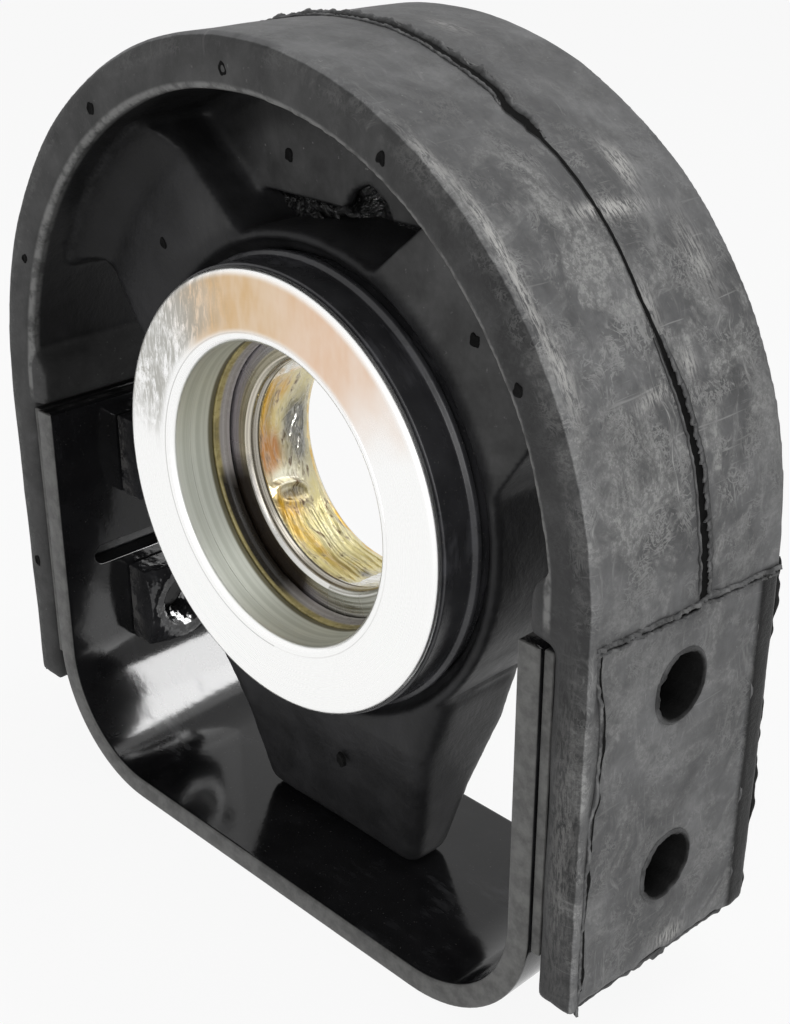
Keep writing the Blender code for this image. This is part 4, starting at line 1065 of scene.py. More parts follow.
class TornFlashMaker(bpy.types.Operator):
    """Lay the torn moulding flash: the open seam over the arch and the lips round the pads"""

    bl_idname = "centre_bearing.torn_flash"
    bl_label = "Torn Flash"

    def execute(self, context):
        torn = torn_rubber_finish(context.scene.rubber_looks)
        self.gap()
        self.crest(torn)
        self.serration(torn)
        for side, sign in SIDES.items():
            self.pad_lips(side, sign, context.scene.flash_looks, torn)
        return {"FINISHED"}

    def fin(self, name, along, place, surface, wall):
        """A thin ragged strip standing on the rubber; place takes (share along, share up)."""
        rows = 3
        piece = placed(name, ribbon(rows, along, place), surface, **SKIN)
        count = len(piece.data.vertices)
        # Edge is 0 at the root and 1 at the top, so the torn finish paints shade at the root and a
        # highlight at the crest.
        skin_attribute(piece.data, "edge", (np.arange(count) // (along + 1)) / rows)
        walled(piece, wall)

    def gap(self):
        """A near-black strip laid just over the arch, painted shade of the open seam: thin over the
        shoulder and wide above each pad.
        """
        def place(run, across):
            angle = -1.6 + 183.2 * run
            y = seam_line(angle) + (across * 2 - 1) * seam_half(angle)
            return on_arch(angle, y, ARCH_RADIUS + 0.00025)
        placed("seam_gap", ribbon(4, 900, place), painted_shade_finish(), **SKIN)

    def crest(self, torn):
        """Lumps of raised flash beside the seam over the top of the arch."""
        def crest_at(offset, seed, tall, start, end, lean):
            def place(run, up):
                angle = start + (end - start) * run
                ends = ease(run, 0.0, 0.06) * ease(run, 1.0, 0.94)
                rough = 0.75 + 0.65 * bumpy(angle * 0.55, seed, 0)
                rough += 0.22 * bumpy(angle * 1.9, seed, 5)
                high = max(0.0, rough) * tall * ends
                side = offset + lean * up * high + 0.0005 * bumpy(angle * 1.6, up * 2, seed)
                return on_arch(angle, seam_line(angle) + side,
                               ARCH_RADIUS - 0.0003 + (high + 0.0003) * up)
            return place
        self.fin("seam_crest_back", 520, crest_at(0.0013, 3.0, 0.0010, 56, 108, 1.3), torn, 0.0010)
        self.fin("seam_crest_middle", 520, crest_at(0.0022, 8.0, 0.0007, 62, 104, 0.8), torn,
                 0.0009)
        self.fin("seam_crest_front", 520, crest_at(-0.0012, 5.0, 0.0006, 62, 108, -0.6), torn,
                 0.0006)
        self.fin("seam_crest_far", 420, crest_at(0.0003, 11.0, 0.0007, 106, 178, 0.3), torn, 0.0005)

    def serration(self, torn):
        """The saw-edged flap along the wide part of the seam, and its smooth front lip."""
        def flap(low, high):
            def place(run, up):
                angle = low + (high - low) * run
                saw = (angle * 0.62 + 0.35 * bumpy(angle * 0.5, 1.0, 2.0)) % 1.0
                tooth = max(0.0, bumpy(angle * 1.3, 9.0, 1.0) + 0.45)
                size = (0.0004 + 0.0016 * tooth * (1 - saw)) * ease(run, 1.0, 0.80)
                side = seam_half(angle) + 0.0009 - up * (size + 0.0007)
                return on_arch(angle, seam_line(angle) + side, ARCH_RADIUS + 0.0001 + 0.0005 * up)
            return place
        self.fin("seam_teeth_right", 420, flap(-1.2, 30.0), torn, 0.0006)
        self.fin("seam_teeth_left", 420, flap(181.2, 152.0), torn, 0.0006)

        def lip(low, high):
            def place(run, up):
                angle = low + (high - low) * run
                ends = ease(run, 0.0, 0.03) * ease(run, 1.0, 0.7)
                tall = 0.0003 + 0.0004 * ends * (1 + 0.5 * bumpy(angle * 1.1, 3.0, 6.0))
                return on_arch(angle, seam_line(angle) - seam_half(angle) - 0.0005 + 0.0002 * up,
                               ARCH_RADIUS - 0.0002 + tall * up)
            return place
        self.fin("seam_lip_right", 320, lip(-1.2, 30.0), torn, 0.0005)
        self.fin("seam_lip_left", 320, lip(181.2, 150.0), torn, 0.0005)

    def pad_lips(self, side, sign, looks, torn):
        """Flash round one pad: ridges on top and in front, thin flaps below, a thick one behind,
        with painted shade in the groove under the top ridge, in the front crease and on the flap
        behind.
        """
        dark = painted_shade_finish()
        ridge_y = np.array((-0.0316, -0.0296, -0.0167, 0.0, 0.0039, 0.0093, 0.0140, 0.0330))
        ridge_z = ARCH_Z + np.array((-0.0026, -0.0025, -0.0036, -0.0048, -0.0050, -0.0053, -0.0052,
                                     -0.0068))

        def ridge(offset, out, tall, seed, hump):
            def place(run, up):
                y = FRONT + 0.0020 + (BACK - FRONT - 0.0030) * run
                z = float(np.interp(y, ridge_y, ridge_z))
                z += hump * 0.0016 * math.exp(-((y - 0.0062) / 0.0034) ** 2)
                z += 0.0005 * bumpy(run * 11, seed, 2) + offset
                rough = 0.80 + 0.60 * bumpy(run * 24, seed, 0)
                rough += 0.35 * bumpy(run * 70, seed, 3)
                return Vector((sign * (PAD_FACE - 0.0003 + out + up * tall * max(0.1, rough)), y,
                               z + up * 0.0004))
            return place
        self.fin(f"pad_top_ridge_{side}", 300, ridge(0.0006, 0.0, 0.0021, 3.0, 1.0), torn, 0.0009)
        self.fin(f"pad_top_second_{side}", 300, ridge(-0.0012, 0.0, 0.0014, 6.0, 0.6), torn, 0.0007)

        # Painted shade: a near-black strip under the top ridge.
        def groove(run, across):
            y = FRONT + 0.0024 + (BACK - FRONT - 0.0040) * run
            z = float(np.interp(y, ridge_y, ridge_z)) + 0.0016 * 0.8 * math.exp(-((y - 0.0062)
                                                                                  / 0.0034) ** 2)
            wide = 0.00055 + 0.0006 * max(0.0, bumpy(run * 9, 4.0, sign))
            return Vector((sign * (PAD_FACE + 0.00022), y, z - 0.0003 + (across * 2 - 1) * wide))
        placed(f"pad_top_groove_{side}", ribbon(2, 240, groove), dark, **SKIN)

        def front(run, up):
            z = ARCH_Z - 0.0028 - 0.0925 * run
            rough = 0.65 + 0.8 * bumpy(run * 12, 5.0, sign)
            rough += 0.4 * bumpy(run * 50, 5.0, sign)
            y = FRONT + 0.0036 + 0.0011 * bumpy(run * 7, 1.0, sign)
            y += 0.0022 * ease(run, 0.04, 0.22) * ease(run, 0.50, 0.34)
            return Vector((sign * (ARCH_RADIUS - 0.0012 + (0.0004 + max(0.05, rough) * 0.0011)
                                   * up), y - 0.0004 * up, z))
        self.fin(f"pad_front_ridge_{side}", 360, front, torn, 0.0006)

        # Painted shade: a near-black strip along the front crease.
        def crease(run, across):
            z = ARCH_Z - 0.0032 - 0.0860 * run
            y = FRONT + 0.0042 + 0.0011 * bumpy(run * 7, 1.0, sign)
            y += 0.0022 * ease(run, 0.04, 0.22) * ease(run, 0.50, 0.34)
            wide = 0.0003 + 0.0009 * max(0.0, bumpy(run * 13, 8.0, sign))
            return Vector((sign * (PAD_FACE + 0.00022), y + wide * across * 2, z))
        placed(f"pad_front_crease_{side}", ribbon(2, 260, crease), dark, **SKIN)

        # Painted shade: the thick flap behind is near black, a face turned away from the light.
        def behind(run, up):
            z = ARCH_Z - 0.0050 - 0.0900 * run
            bulge = 0.75 + 1.1 * bumpy(run * 5.0, 7.0, sign)
            bulge += 0.45 * bumpy(run * 26.0, 7.0, sign)
            out = max(0.15, bulge) * 0.0026
            lift = 0.0006 * bumpy(run * 18.0, 2.0, sign)
            return Vector((sign * (ARCH_RADIUS - 0.0014 - 0.0010 * up + lift * up),
                           BACK - 0.0012 + out * up, z))
        self.fin(f"pad_back_flash_{side}", 360, behind, dark, 0.0024)

        def back_edge(run, up):
            z = ARCH_Z - 0.0052 - 0.0900 * run
            rough = 0.5 + 0.9 * bumpy(run * 16, 3.0, sign)
            y = BACK - 0.0064 + 0.0006 * bumpy(run * 12, 6.0, sign)
            return Vector((sign * (PAD_FACE - 0.0004 + (0.0004 + max(0.0, rough) * 0.0009) * up), y,
                           z))
        self.fin(f"pad_back_ridge_{side}", 300, back_edge, torn, 0.0006)

        def below(seed, size, start, end):
            def place(run, up):
                share = start + (end - start) * run
                y = FRONT + 0.0010 + (BACK - FRONT - 0.0022) * share
                foot = ARCH_Z - 0.0936 - 0.0047 * share
                rough = 0.35 + 1.1 * bumpy(share * 11.0, seed, sign)
                rough += 0.3 * bumpy(share * 36.0, seed, sign)
                high = max(0.0, rough) * size * ease(run, 0.0, 0.08) * ease(run, 1.0, 0.92)
                curl = 0.0006 * bumpy(share * 20, up * 2, seed)
                return Vector((sign * (PAD_FACE - 0.0006 + curl * up), y,
                               foot + 0.0008 - (0.0008 + high) * up))
            return place
        self.fin(f"pad_foot_flash_{side}", 320, below(2.0, 0.0008, 0.0, 1.0), torn, looks.wall)
        self.fin(f"pad_foot_rags_{side}", 200, below(6.0, 0.0020, 0.30, 0.62), torn, 0.0003)


class HoleRimMaker(bpy.types.Operator):
    """Line the rubber's bolt holes, near black inside as painted shade, and raise their lumpy
    moulded rims
    """

    bl_idname = "centre_bearing.hole_rims"
    bl_label = "Bolt Hole Rims"

    def execute(self, context):
        surface = torn_rubber_finish(context.scene.rubber_looks)
        hole = RUBBER_HOLE
        for side, sign in SIDES.items():
            for level, height in BOLT_LEVELS.items():
                profile = [(hole - 0.0004, 0.0002, 0.0002), (hole + 0.0001, -0.0003, 0.0002),
                           (hole + 0.0008, 0.0001, 0), (hole + 0.0011, 0.0009, 0),
                           (hole + 0.0008, 0.0085, 0), (hole - 0.0004, 0.0085, 0)]
                shape = spun(profile, 96, centre_z=0.0)
                for vert in shape.verts:
                    turn = math.atan2(vert.co.z, vert.co.x)
                    lump = bumpy(2.6 * math.cos(turn), 2.6 * math.sin(turn), height * 40 + sign)
                    fine = bumpy(7 * math.cos(turn), 7 * math.sin(turn), height * 90 + sign)
                    near = ease(vert.co.y, 0.0016, -0.0002)
                    vert.co.y -= (0.0004 * lump + 0.0002 * fine) * near
                    size = 1 - (0.050 * lump + 0.035 * fine) * near
                    vert.co.x *= size
                    vert.co.z *= size
                bmesh.ops.transform(shape, verts=shape.verts, space=Matrix.Identity(4),
                                    matrix=Matrix.Translation((sign * PAD_FACE, 0, height))
                                    @ Matrix.Rotation(sign * math.pi / 2, 4, "Z"))
                piece = placed(f"hole_rim_{side}_{level}", shape, surface, slot="mount_rubber",
                               sharp=50.0)
                points = skin_arrays(piece.data)[0]
                depth = PAD_FACE - np.abs(points[:, 0])
                from_bolt = np.hypot(points[:, 1], points[:, 2] - height)
                # Painted shade: edge falls to 0 deeper in the hole, so the lining turns near black.
                share = smooth_share(depth, 0.0012, 0.0) * smooth_share(from_bolt, hole - 0.0003,
                                                                        hole + 0.0006)
                skin_attribute(piece.data, "edge", 0.80 * share)
        return {"FINISHED"}


class TornWebMaker(bpy.types.Operator):
    """Hang the oily shreds of the torn web between the hub and the wings"""

    bl_idname = "centre_bearing.torn_web"
    bl_label = "Torn Web"

    def execute(self, context):
        surface = wet_rubber_finish()

        def hub_top(x):
            return AXIS_Z + math.sqrt(HUB_RADIUS ** 2 - x * x) - 0.0012

        def sheet(run, up):
            x = -0.0300 + 0.0525 * run
            ragged = 0.0006 * bumpy(run * 30, 2.0, 5.0)
            top = 0.1858 - 0.0068 * ease(x, 0.0144, 0.0152) + ragged
            z = hub_top(x) * (1 - up) + max(top, hub_top(x) + 0.0020) * up
            crumple = bumpy(x * 260, z * 300, 1.0) + 0.5 * bumpy(x * 700, z * 600, 4.0)
            sunk = 0.0042 * ease(x, 0.0000, 0.0050)
            return Vector((x, 0.0040 + sunk + 0.0011 * crumple, z))
        walled(placed("web_rags", ribbon(26, 96, sheet), surface, **SKIN), 0.0006)
        whole = bmesh.new()
        for number in range(16):
            pick = [noise.cell(Vector((number * 3.7, turn * 2.3, 1.0))) for turn in range(6)]
            start = -0.0290 + 0.0430 * (number + 0.6 * pick[0]) / 16
            long, wide = 0.0060 + 0.0080 * pick[1], 0.0007 + 0.0011 * pick[2]
            rise, high = 0.0022 * (pick[3] - 0.35), 0.0006 + 0.0034 * pick[4]

            def strip(run, across):
                x = start + long * (run - 0.5)
                bend = bumpy(run * 3.1, number * 1.7, 0.0)
                twist = 2.4 * bumpy(run * 2.2, number * 2.9, 8.0)
                taper = 1 - 0.8 * abs(run * 2 - 1) ** 2
                z = hub_top(x) + high + rise * run + 0.0014 * bend
                side = (across * 2 - 1) * wide * taper
                return Vector((x, -0.0008 - 0.0030 * pick[5] + side * math.sin(twist),
                               z + side * math.cos(twist)))
            added(whole, ribbon(3, 26, strip))
        walled(placed("web_shreds", whole, surface, **SKIN), 0.0005)
        return {"FINISHED"}


class MouldPipMaker(bpy.types.Operator):
    """Set the small torn vent pips that the mould leaves on the rubber's front, painted near black
    as shade
    """

    bl_idname = "centre_bearing.mould_pips"
    bl_label = "Mould Pips"

    def execute(self, context):
        rim_y, wing_y = FRONT, -0.0156
        spots = [(-0.023, 0.93, rim_y), (-0.511, 0.783, rim_y), (0.797, 0.455, rim_y),
                 (-0.952, -0.528, rim_y), (0.44, 0.822, rim_y), (-0.86, 0.36, rim_y),
                 (-0.503, 0.437, wing_y), (0.531, 0.444, wing_y), (0.085, -0.785, -0.0135),
                 (-0.178, 0.683, -0.0021)]
        whole = bmesh.new()
        for number, (across, up, along) in enumerate(spots):
            size = 0.0012 + 0.0004 * bumpy(number * 3.1, 0, 0)
            profile = [(0.00001, -0.00005, 0), (size * 0.55, -0.0001, 0),
                       (size * 0.8, -0.00035, 0.0001), (size * 1.05, -0.0002, 0),
                       (size * 1.2, 0.0006, 0), (0.00001, 0.0006, 0)]
            pip = spun(profile, 20, centre_z=0.0, rounding_steps=2)
            for vert in pip.verts:
                uneven = 1 + 0.5 * bumpy(vert.co.x * 900, number * 5.3, vert.co.z * 900)
                vert.co.x, vert.co.z = vert.co.x * uneven, vert.co.z * uneven * 1.15
            bmesh.ops.translate(pip, verts=pip.verts,
                                vec=(across * ARCH_RADIUS, along, ARCH_Z + up * ARCH_RADIUS))
            added(whole, pip)
        # Painted shade: the pips are near black.
        placed("mould_pips", whole, painted_shade_finish(), slot="mount_rubber")
        return {"FINISHED"}


# Strap, plates and nuts


class StrapMaker(bpy.types.Operator):
    """Bend the flat bar to its U and cut the bolt holes and the slots"""

    bl_idname = "centre_bearing.strap"
    bl_label = "Strap"

    def execute(self, context):
        looks = context.scene.paint_looks
        inner, outer = STRAP_HIGH.x - STRAP_THICK, STRAP_HIGH.x
        front, back, top = STRAP_LOW.y, STRAP_HIGH.y, STRAP_HIGH.z
        bend_x, bend_z = inner - BEND, STRAP_THICK + BEND
        shape = bmesh.new()
        bmesh.ops.create_grid(shape, x_segments=1, y_segments=1, size=0.5)
        bmesh.ops.scale(shape, verts=shape.verts, vec=(STRAP_THICK, back - front, 1))
        bmesh.ops.translate(shape, verts=shape.verts,
                            vec=(-(inner + outer) / 2, (front + back) / 2, top))
        rounded(shape, shape.verts[:], looks.edge, 3, "VERTICES")
        pinned(shape, 0.02, 0.0004)
        bmesh.ops.delete(shape, geom=shape.faces[:], context="FACES_ONLY")
        first = shape.edges[:]
        last = self.pushed(shape, first, (0, 0, -0.0020))
        last = self.pushed(shape, last, (0, 0, bend_z - top + 0.0020))
        last = self.bent(shape, last, (-bend_x, 0, bend_z))
        last = self.pushed(shape, last, (2 * bend_x, 0, 0))
        last = self.bent(shape, last, (bend_x, 0, bend_z))
        last = self.pushed(shape, last, (0, 0, top - bend_z - 0.0020))
        last = self.pushed(shape, last, (0, 0, 0.0020))
        bmesh.ops.contextual_create(shape, geom=first)
        bmesh.ops.contextual_create(shape, geom=last)
        bmesh.ops.recalc_face_normals(shape, faces=shape.faces)
        ends = [e for e in shape.edges if all(abs(v.co.z - top) < 1e-6 for v in e.verts)]
        straight = [e for e in ends if abs(e.verts[0].co.x - e.verts[1].co.x) < 1e-6]
        rounded(shape, [e for e in straight if e.calc_length() > 0.02], 0.0016)
        bar = loose("strap_bar", shape)
        cutters = []
        for sign in SIDES.values():
            cutters += [cross_hole(sign, height, inner, outer) for height in BOLT_LEVELS.values()]
            cutters.append(slot_cutter(sign, inner, outer))
        surface = painted_steel_finish("glossy_black_paint", looks, gloss=0.12, dust=0.55,
                                       peel=0.35, cut_edge=front)
        piece = dressed("strap_bar", carved(bar, cutters), surface,
                        replaces=("strap",), sharp=32.0)
        edge = piece.modifiers.new("rounded_holes", "BEVEL")
        edge.width, edge.segments, edge.limit_method = 0.0003, 2, "ANGLE"
        edge.angle_limit = math.radians(50)
        edge.harden_normals = True
        return {"FINISHED"}

    def pushed(self, shape, edges, step):
        """Extrude an open loop and move it on; give its new edges."""
        made = bmesh.ops.extrude_edge_only(shape, edges=edges)["geom"]
        verts = [g for g in made if isinstance(g, bmesh.types.BMVert)]
        bmesh.ops.translate(shape, verts=verts, vec=step)
        return [g for g in made if isinstance(g, bmesh.types.BMEdge)]

    def bent(self, shape, edges, centre):
        """Spin an open loop a quarter turn about Y; give its new edges."""
        verts = list({v for e in edges for v in e.verts})
        made = bmesh.ops.spin(shape, geom=verts + edges, cent=centre, axis=(0, 1, 0),
                              dvec=(0, 0, 0), angle=-math.pi / 2, steps=22)["geom_last"]
        return [g for g in made if isinstance(g, bmesh.types.BMEdge)]


def cross_bar(sign, height, low, high, radius, steps):
    """A round bar along X through a leg, as a bmesh."""
    shape = bmesh.new()
    turn = Matrix.Translation((sign * (low + high) / 2, 0, height))
    bmesh.ops.create_cone(shape, cap_ends=True, segments=steps, radius1=radius, radius2=radius,
                          depth=high - low + 0.002, matrix=turn
                          @ Matrix.Rotation(math.pi / 2, 4, "Y"))
    return shape


def cross_hole(sign, height, low, high):
    """The cutter of a bolt hole in steel."""
    return loose("bolt_hole", cross_bar(sign, height, low, high, STEEL_HOLE, 48))


def slot_cutter(sign, low, high):
    """The round-ended cutter of the slot between the bolt holes."""
    shape = cross_bar(sign, BOLT_LEVELS["lower"] + SLOT_RISE, low, high, SLOT_RADIUS, 24)
    for vert in shape.verts:
        middle = abs(vert.co.y) < 1e-6
        vert.co.y += SLOT_REACH if middle else math.copysign(SLOT_REACH, vert.co.y)
    bmesh.ops.recalc_face_normals(shape, faces=shape.faces)
    return loose("slot", shape)


class SidePlateMaker(bpy.types.Operator):
    """Round the edges of the thin plates beside the strap"""

    bl_idname = "centre_bearing.side_plates"
    bl_label = "Side Plates"

    def execute(self, context):
        looks = context.scene.paint_looks
        surface = painted_steel_finish("dull_black_paint", looks, gloss=0.34, dust=0.8, peel=0.9,
                                       cut_edge=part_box("side_plate_left")[0].y)
        for side, sign in SIDES.items():
            low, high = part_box(f"side_plate_{side}")
            near, far = sorted((abs(low.x), abs(high.x)))
            holes = [cross_hole(sign, height, near, far) for height in BOLT_LEVELS.values()]
            mesh = carved(loose("plate", block(low, high, 0.0004, 2)), holes)
            dressed(f"plate_{side}", mesh, surface,
                    replaces=(f"side_plate_{side}",), sharp=32.0)
        return {"FINISHED"}


class WeldNutMaker(bpy.types.Operator):
    """Make the four square weld nuts with chamfered faces and threaded bores"""

    bl_idname = "centre_bearing.weld_nuts"
    bl_label = "Weld Nuts"

    def execute(self, context):
        looks = context.scene.paint_looks
        surface = painted_steel_finish("nut_black_paint", looks, gloss=0.10, dust=2.0, peel=0.6,
                                       shine=0.6, lumps=0.9, tone=2.2, coarse=230.0)
        for side, sign in SIDES.items():
            for level in BOLT_LEVELS:
                node = f"weld_nut_{side}_{level}"
                low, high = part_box(node)
                mesh = self.nut(looks.thread_pitch, low, high, sign)
                dressed(f"nut_{side}_{level}", mesh, surface, replaces=(node,),
                        sharp=35.0)
        return {"FINISHED"}

    def nut(self, pitch, low, high, sign):
        """A nut's mesh: a square block, chamfered by a cone and bored with a ringed thread."""
        tall, half = high.x - low.x, (high.y - low.y) / 2
        corner = half * math.sqrt(2) + 0.0004
        fall = (corner - NUT_FACE) * math.tan(math.radians(30))
        square = block(Vector((-half, 0, -half)), Vector((half, tall, half)), 0.0006, 3)
        dome = spun([(0.00001, -0.001, 0), (corner, -0.001, 0), (corner, tall - fall, 0),
                     (NUT_FACE, tall, 0.0008), (0.00001, tall, 0)], 64, centre_z=0.0)
        mesh = carved(loose("nut_block", square), [loose("nut_dome", dome)], "INTERSECT")
        shape = bmesh.new()
        shape.from_mesh(mesh)
        bpy.data.meshes.remove(mesh)
        bore = [(0.00001, -0.002, 0), (NUT_BORE, -0.002, 0)]
        along = 0.0004
        while along < tall - 0.0016:
            bore += [(NUT_BORE, along, 0), (NUT_THREAD, along + pitch / 2, 0)]
            along += pitch
        bore += [(NUT_BORE, tall - 0.0012, 0), (NUT_MOUTH, tall + 0.0002, 0),
                 (NUT_MOUTH, tall + 0.002, 0), (0.00001, tall + 0.002, 0)]
        mesh = carved(loose("nut_body", shape), [loose("nut_bore", spun(bore, 56, centre_z=0.0))])
        turn = Matrix.Rotation(sign * math.pi / 2, 4, "Z")
        back = high.x if sign > 0 else low.x
        centre = Vector((back, (low.y + high.y) / 2, (low.z + high.z) / 2))
        mesh.transform(Matrix.Translation(centre) @ turn)
        return mesh


# Sleeve, covers and bearing


class SleeveMaker(bpy.types.Operator):
    """Spin the black sleeve that carries the bearing in the hub"""

    bl_idname = "centre_bearing.sleeve"
    bl_label = "Sleeve"

    def execute(self, context):
        looks = context.scene.ring_looks
        low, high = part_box("carrier_sleeve")
        bead = high.x
        outer, inner = bead - 0.0013, bead - 0.0026
        front, lip_back = low.y, high.y
        step_back, step_front = 0.0155, 0.0135
        profile = [
            (outer, front, 0.0004), (outer, -0.0164, 0.0003), (bead, -0.01573, 0.0004),
            (bead, -0.01437, 0.0004), (outer, -0.0137, 0.0003), (outer, lip_back - 0.0007, 0.0005),
            (outer - 0.0007, lip_back, 0.0004), (inner - 0.0017, lip_back, 0.0003),
            (inner - 0.0017, lip_back - 0.0012, 0.0003), (inner, lip_back - 0.0012, 0.0002),
            (inner, step_back, 0.0002), (inner - 0.0038, step_back, 0.0003),
            (inner - 0.0038, step_front, 0.0003), (inner, step_front, 0.0002),
            (inner, front, 0.0003),
        ]
        surface = painted_steel_finish("sleeve_black_paint", context.scene.paint_looks, gloss=0.24,
                                       dust=4.2, peel=0.4, shine=0.35, lumps=0.08, tone=4.6)
        placed("sleeve", spun(profile, looks.steps), surface, slot="black_paint",
               replaces=("carrier_sleeve",))
        return {"FINISHED"}


class FrontCoverMaker(bpy.types.Operator):
    """Spin the bright front cover and the olive lip seal at its bore"""

    bl_idname = "centre_bearing.front_cover"
    bl_label = "Front Cover and Lip Seal"

    def execute(self, context):
        looks = context.scene.ring_looks
        low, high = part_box("front_cover")
        radius, face, end = high.x, low.y, high.y
        back, bore, flange, spigot = face + 0.00215, COVER_BORE, COVER_FLANGE, COVER_SPIGOT
        profile = [
            (bore, end, 0.0003), (bore + 0.00012, face + 0.0062, 0.0003),
            (bore, face + 0.0060, 0.0002), (bore, face + 0.0012, 0.0006),
            (bore + 0.0012, face, 0.0006), (bore + 0.0024, face, 0),
            (bore + 0.0025, face + 0.00012, 0), (bore + 0.0027, face, 0), (radius, face, 0.0017),
            (radius, back, 0.0003), (spigot, back, 0.0002),
            (spigot, back + 0.0042, 0.0003), (spigot - 0.002, back + 0.0042, 0.0003),
            (spigot - 0.002, back, 0.0003), (flange, back, 0.0003), (flange, end, 0.0003),
        ]
        placed("cover_plate", spun(profile, looks.steps), plated_cover_finish(looks),
               slot="bright_steel", replaces=("front_cover",))
        low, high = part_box("front_lip_seal")
        start, end, outer = low.y, high.y, high.x
        lip = bore - 0.0013
        band = [
            (bore - 0.0002, start, 0.0003), (outer, start, 0.0002), (outer, start + 0.0026, 0.0003),
            (bore, end, 0.0003), (lip, end, 0.0002), (lip, start + 0.0030, 0.0004),
            (lip + 0.0007, start + 0.0019, 0.0003),
        ]
        placed("lip_band", spun(band, looks.steps), lip_seal_finish(looks), slot="olive_rubber",
               replaces=("front_lip_seal",))
        return {"FINISHED"}


class RearCoverMaker(bpy.types.Operator):
    """Spin the flat ring that closes the sleeve's back, and dress the spacer ring"""

    bl_idname = "centre_bearing.rear_cover"
    bl_label = "Rear Cover and Spacer Ring"

    def execute(self, context):
        looks = context.scene.ring_looks
        low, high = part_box("rear_cover")
        outer, back, end, face = high.x, high.y, low.y, high.y - 0.0021
        profile = [(outer, face, 0.0003), (outer, back, 0.0004),
                   (COVER_BORE + 0.0007, back, 0.0004), (COVER_BORE, back - 0.0007, 0.0003),
                   (COVER_BORE, end, 0.0002), (COVER_FLANGE, end, 0.0003),
                   (COVER_FLANGE, face, 0.0003)]
        surface = turned_steel_finish("rear_plate_steel", (0.52, 0.51, 0.49), (0.66, 0.66, 0.65),
                                      0.24)
        placed("rear_plate", spun(profile, looks.steps), surface, slot="bright_steel",
               replaces=("rear_cover",))
        dress_node("spacer_ring", surface)
        return {"FINISHED"}


def dress_node(node, surface):
    """Give a CAD node that stays its new material."""
    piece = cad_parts[node]
    piece.data.materials.clear()
    piece.data.materials.append(surface)


class BearingMaker(bpy.types.Operator):
    """Spin the inner ring, and dress the outer ring, seals, cage and balls"""

    bl_idname = "centre_bearing.bearing"
    bl_label = "Ball Bearing"

    def execute(self, context):
        looks = context.scene.ring_looks
        low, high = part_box("inner_ring")
        front, back = low.y, high.y
        bore, land, middle = RACE_BORE, high.x, (low.y + high.y) / 2
        opening = math.acos((BALL_PITCH - land) / BALL_ROOM)
        turns = [math.pi - opening + 2 * opening * index / 12 for index in range(13)]
        groove = [(BALL_PITCH + BALL_ROOM * math.cos(turn), middle + BALL_ROOM * math.sin(turn), 0)
                  for turn in turns]
        profile = [(bore, front + 0.0011, 0.0005), (bore, back - 0.0011, 0.0005),
                   (bore + 0.0011, back, 0.0004), (land, back, 0.0003), *groove,
                   (land, front, 0.0003), (bore + 0.0011, front, 0.0004)]
        placed("race_inner", spun(profile, looks.steps), race_steel_finish(looks), body="inner",
               slot="bearing_steel", replaces=("inner_ring",))
        ground = turned_steel_finish("ground_race_steel", (0.40, 0.39, 0.38), (0.56, 0.55, 0.54),
                                     0.14)
        polished = turned_steel_finish("ball_steel", (0.60, 0.60, 0.60), (0.72, 0.72, 0.72), 0.05)
        seal = plain_rubber_finish("bearing_seal_rubber", (0.010, 0.009, 0.008),
                                   (0.026, 0.024, 0.022), 0.35, 0.0006)
        plastic = plain_rubber_finish("cage_plastic", (0.42, 0.34, 0.18), (0.58, 0.50, 0.32), 0.35,
                                      0.0008)
        dress_node("outer_ring", ground)
        dress_node("front_seal", seal)
        dress_node("rear_seal", seal)
        dress_node("ball_cage", plastic)
        for number in range(1, 11):
            dress_node(f"ball_{number:02d}", polished)
        return {"FINISHED"}


STRAW, PALE_STRAW, CREAM_HIGHLIGHT = (0.80, 0.69, 0.30), (0.85, 0.78, 0.44), (1.0, 0.96, 0.76)
RUST, BROWN, DULL_GOLD, KHAKI = (0.55, 0.20, 0.01), (0.28, 0.19, 0.04), (0.62, 0.46, 0.07), (0.40,
                                                                                             0.30,
                                                                                             0.08)
OLD_OIL, FOLD_SHADE, SOOT = (0.30, 0.22, 0.08), (0.12, 0.09, 0.04), (0.10, 0.085, 0.05)
GREY_FILM = (0.24, 0.235, 0.215)


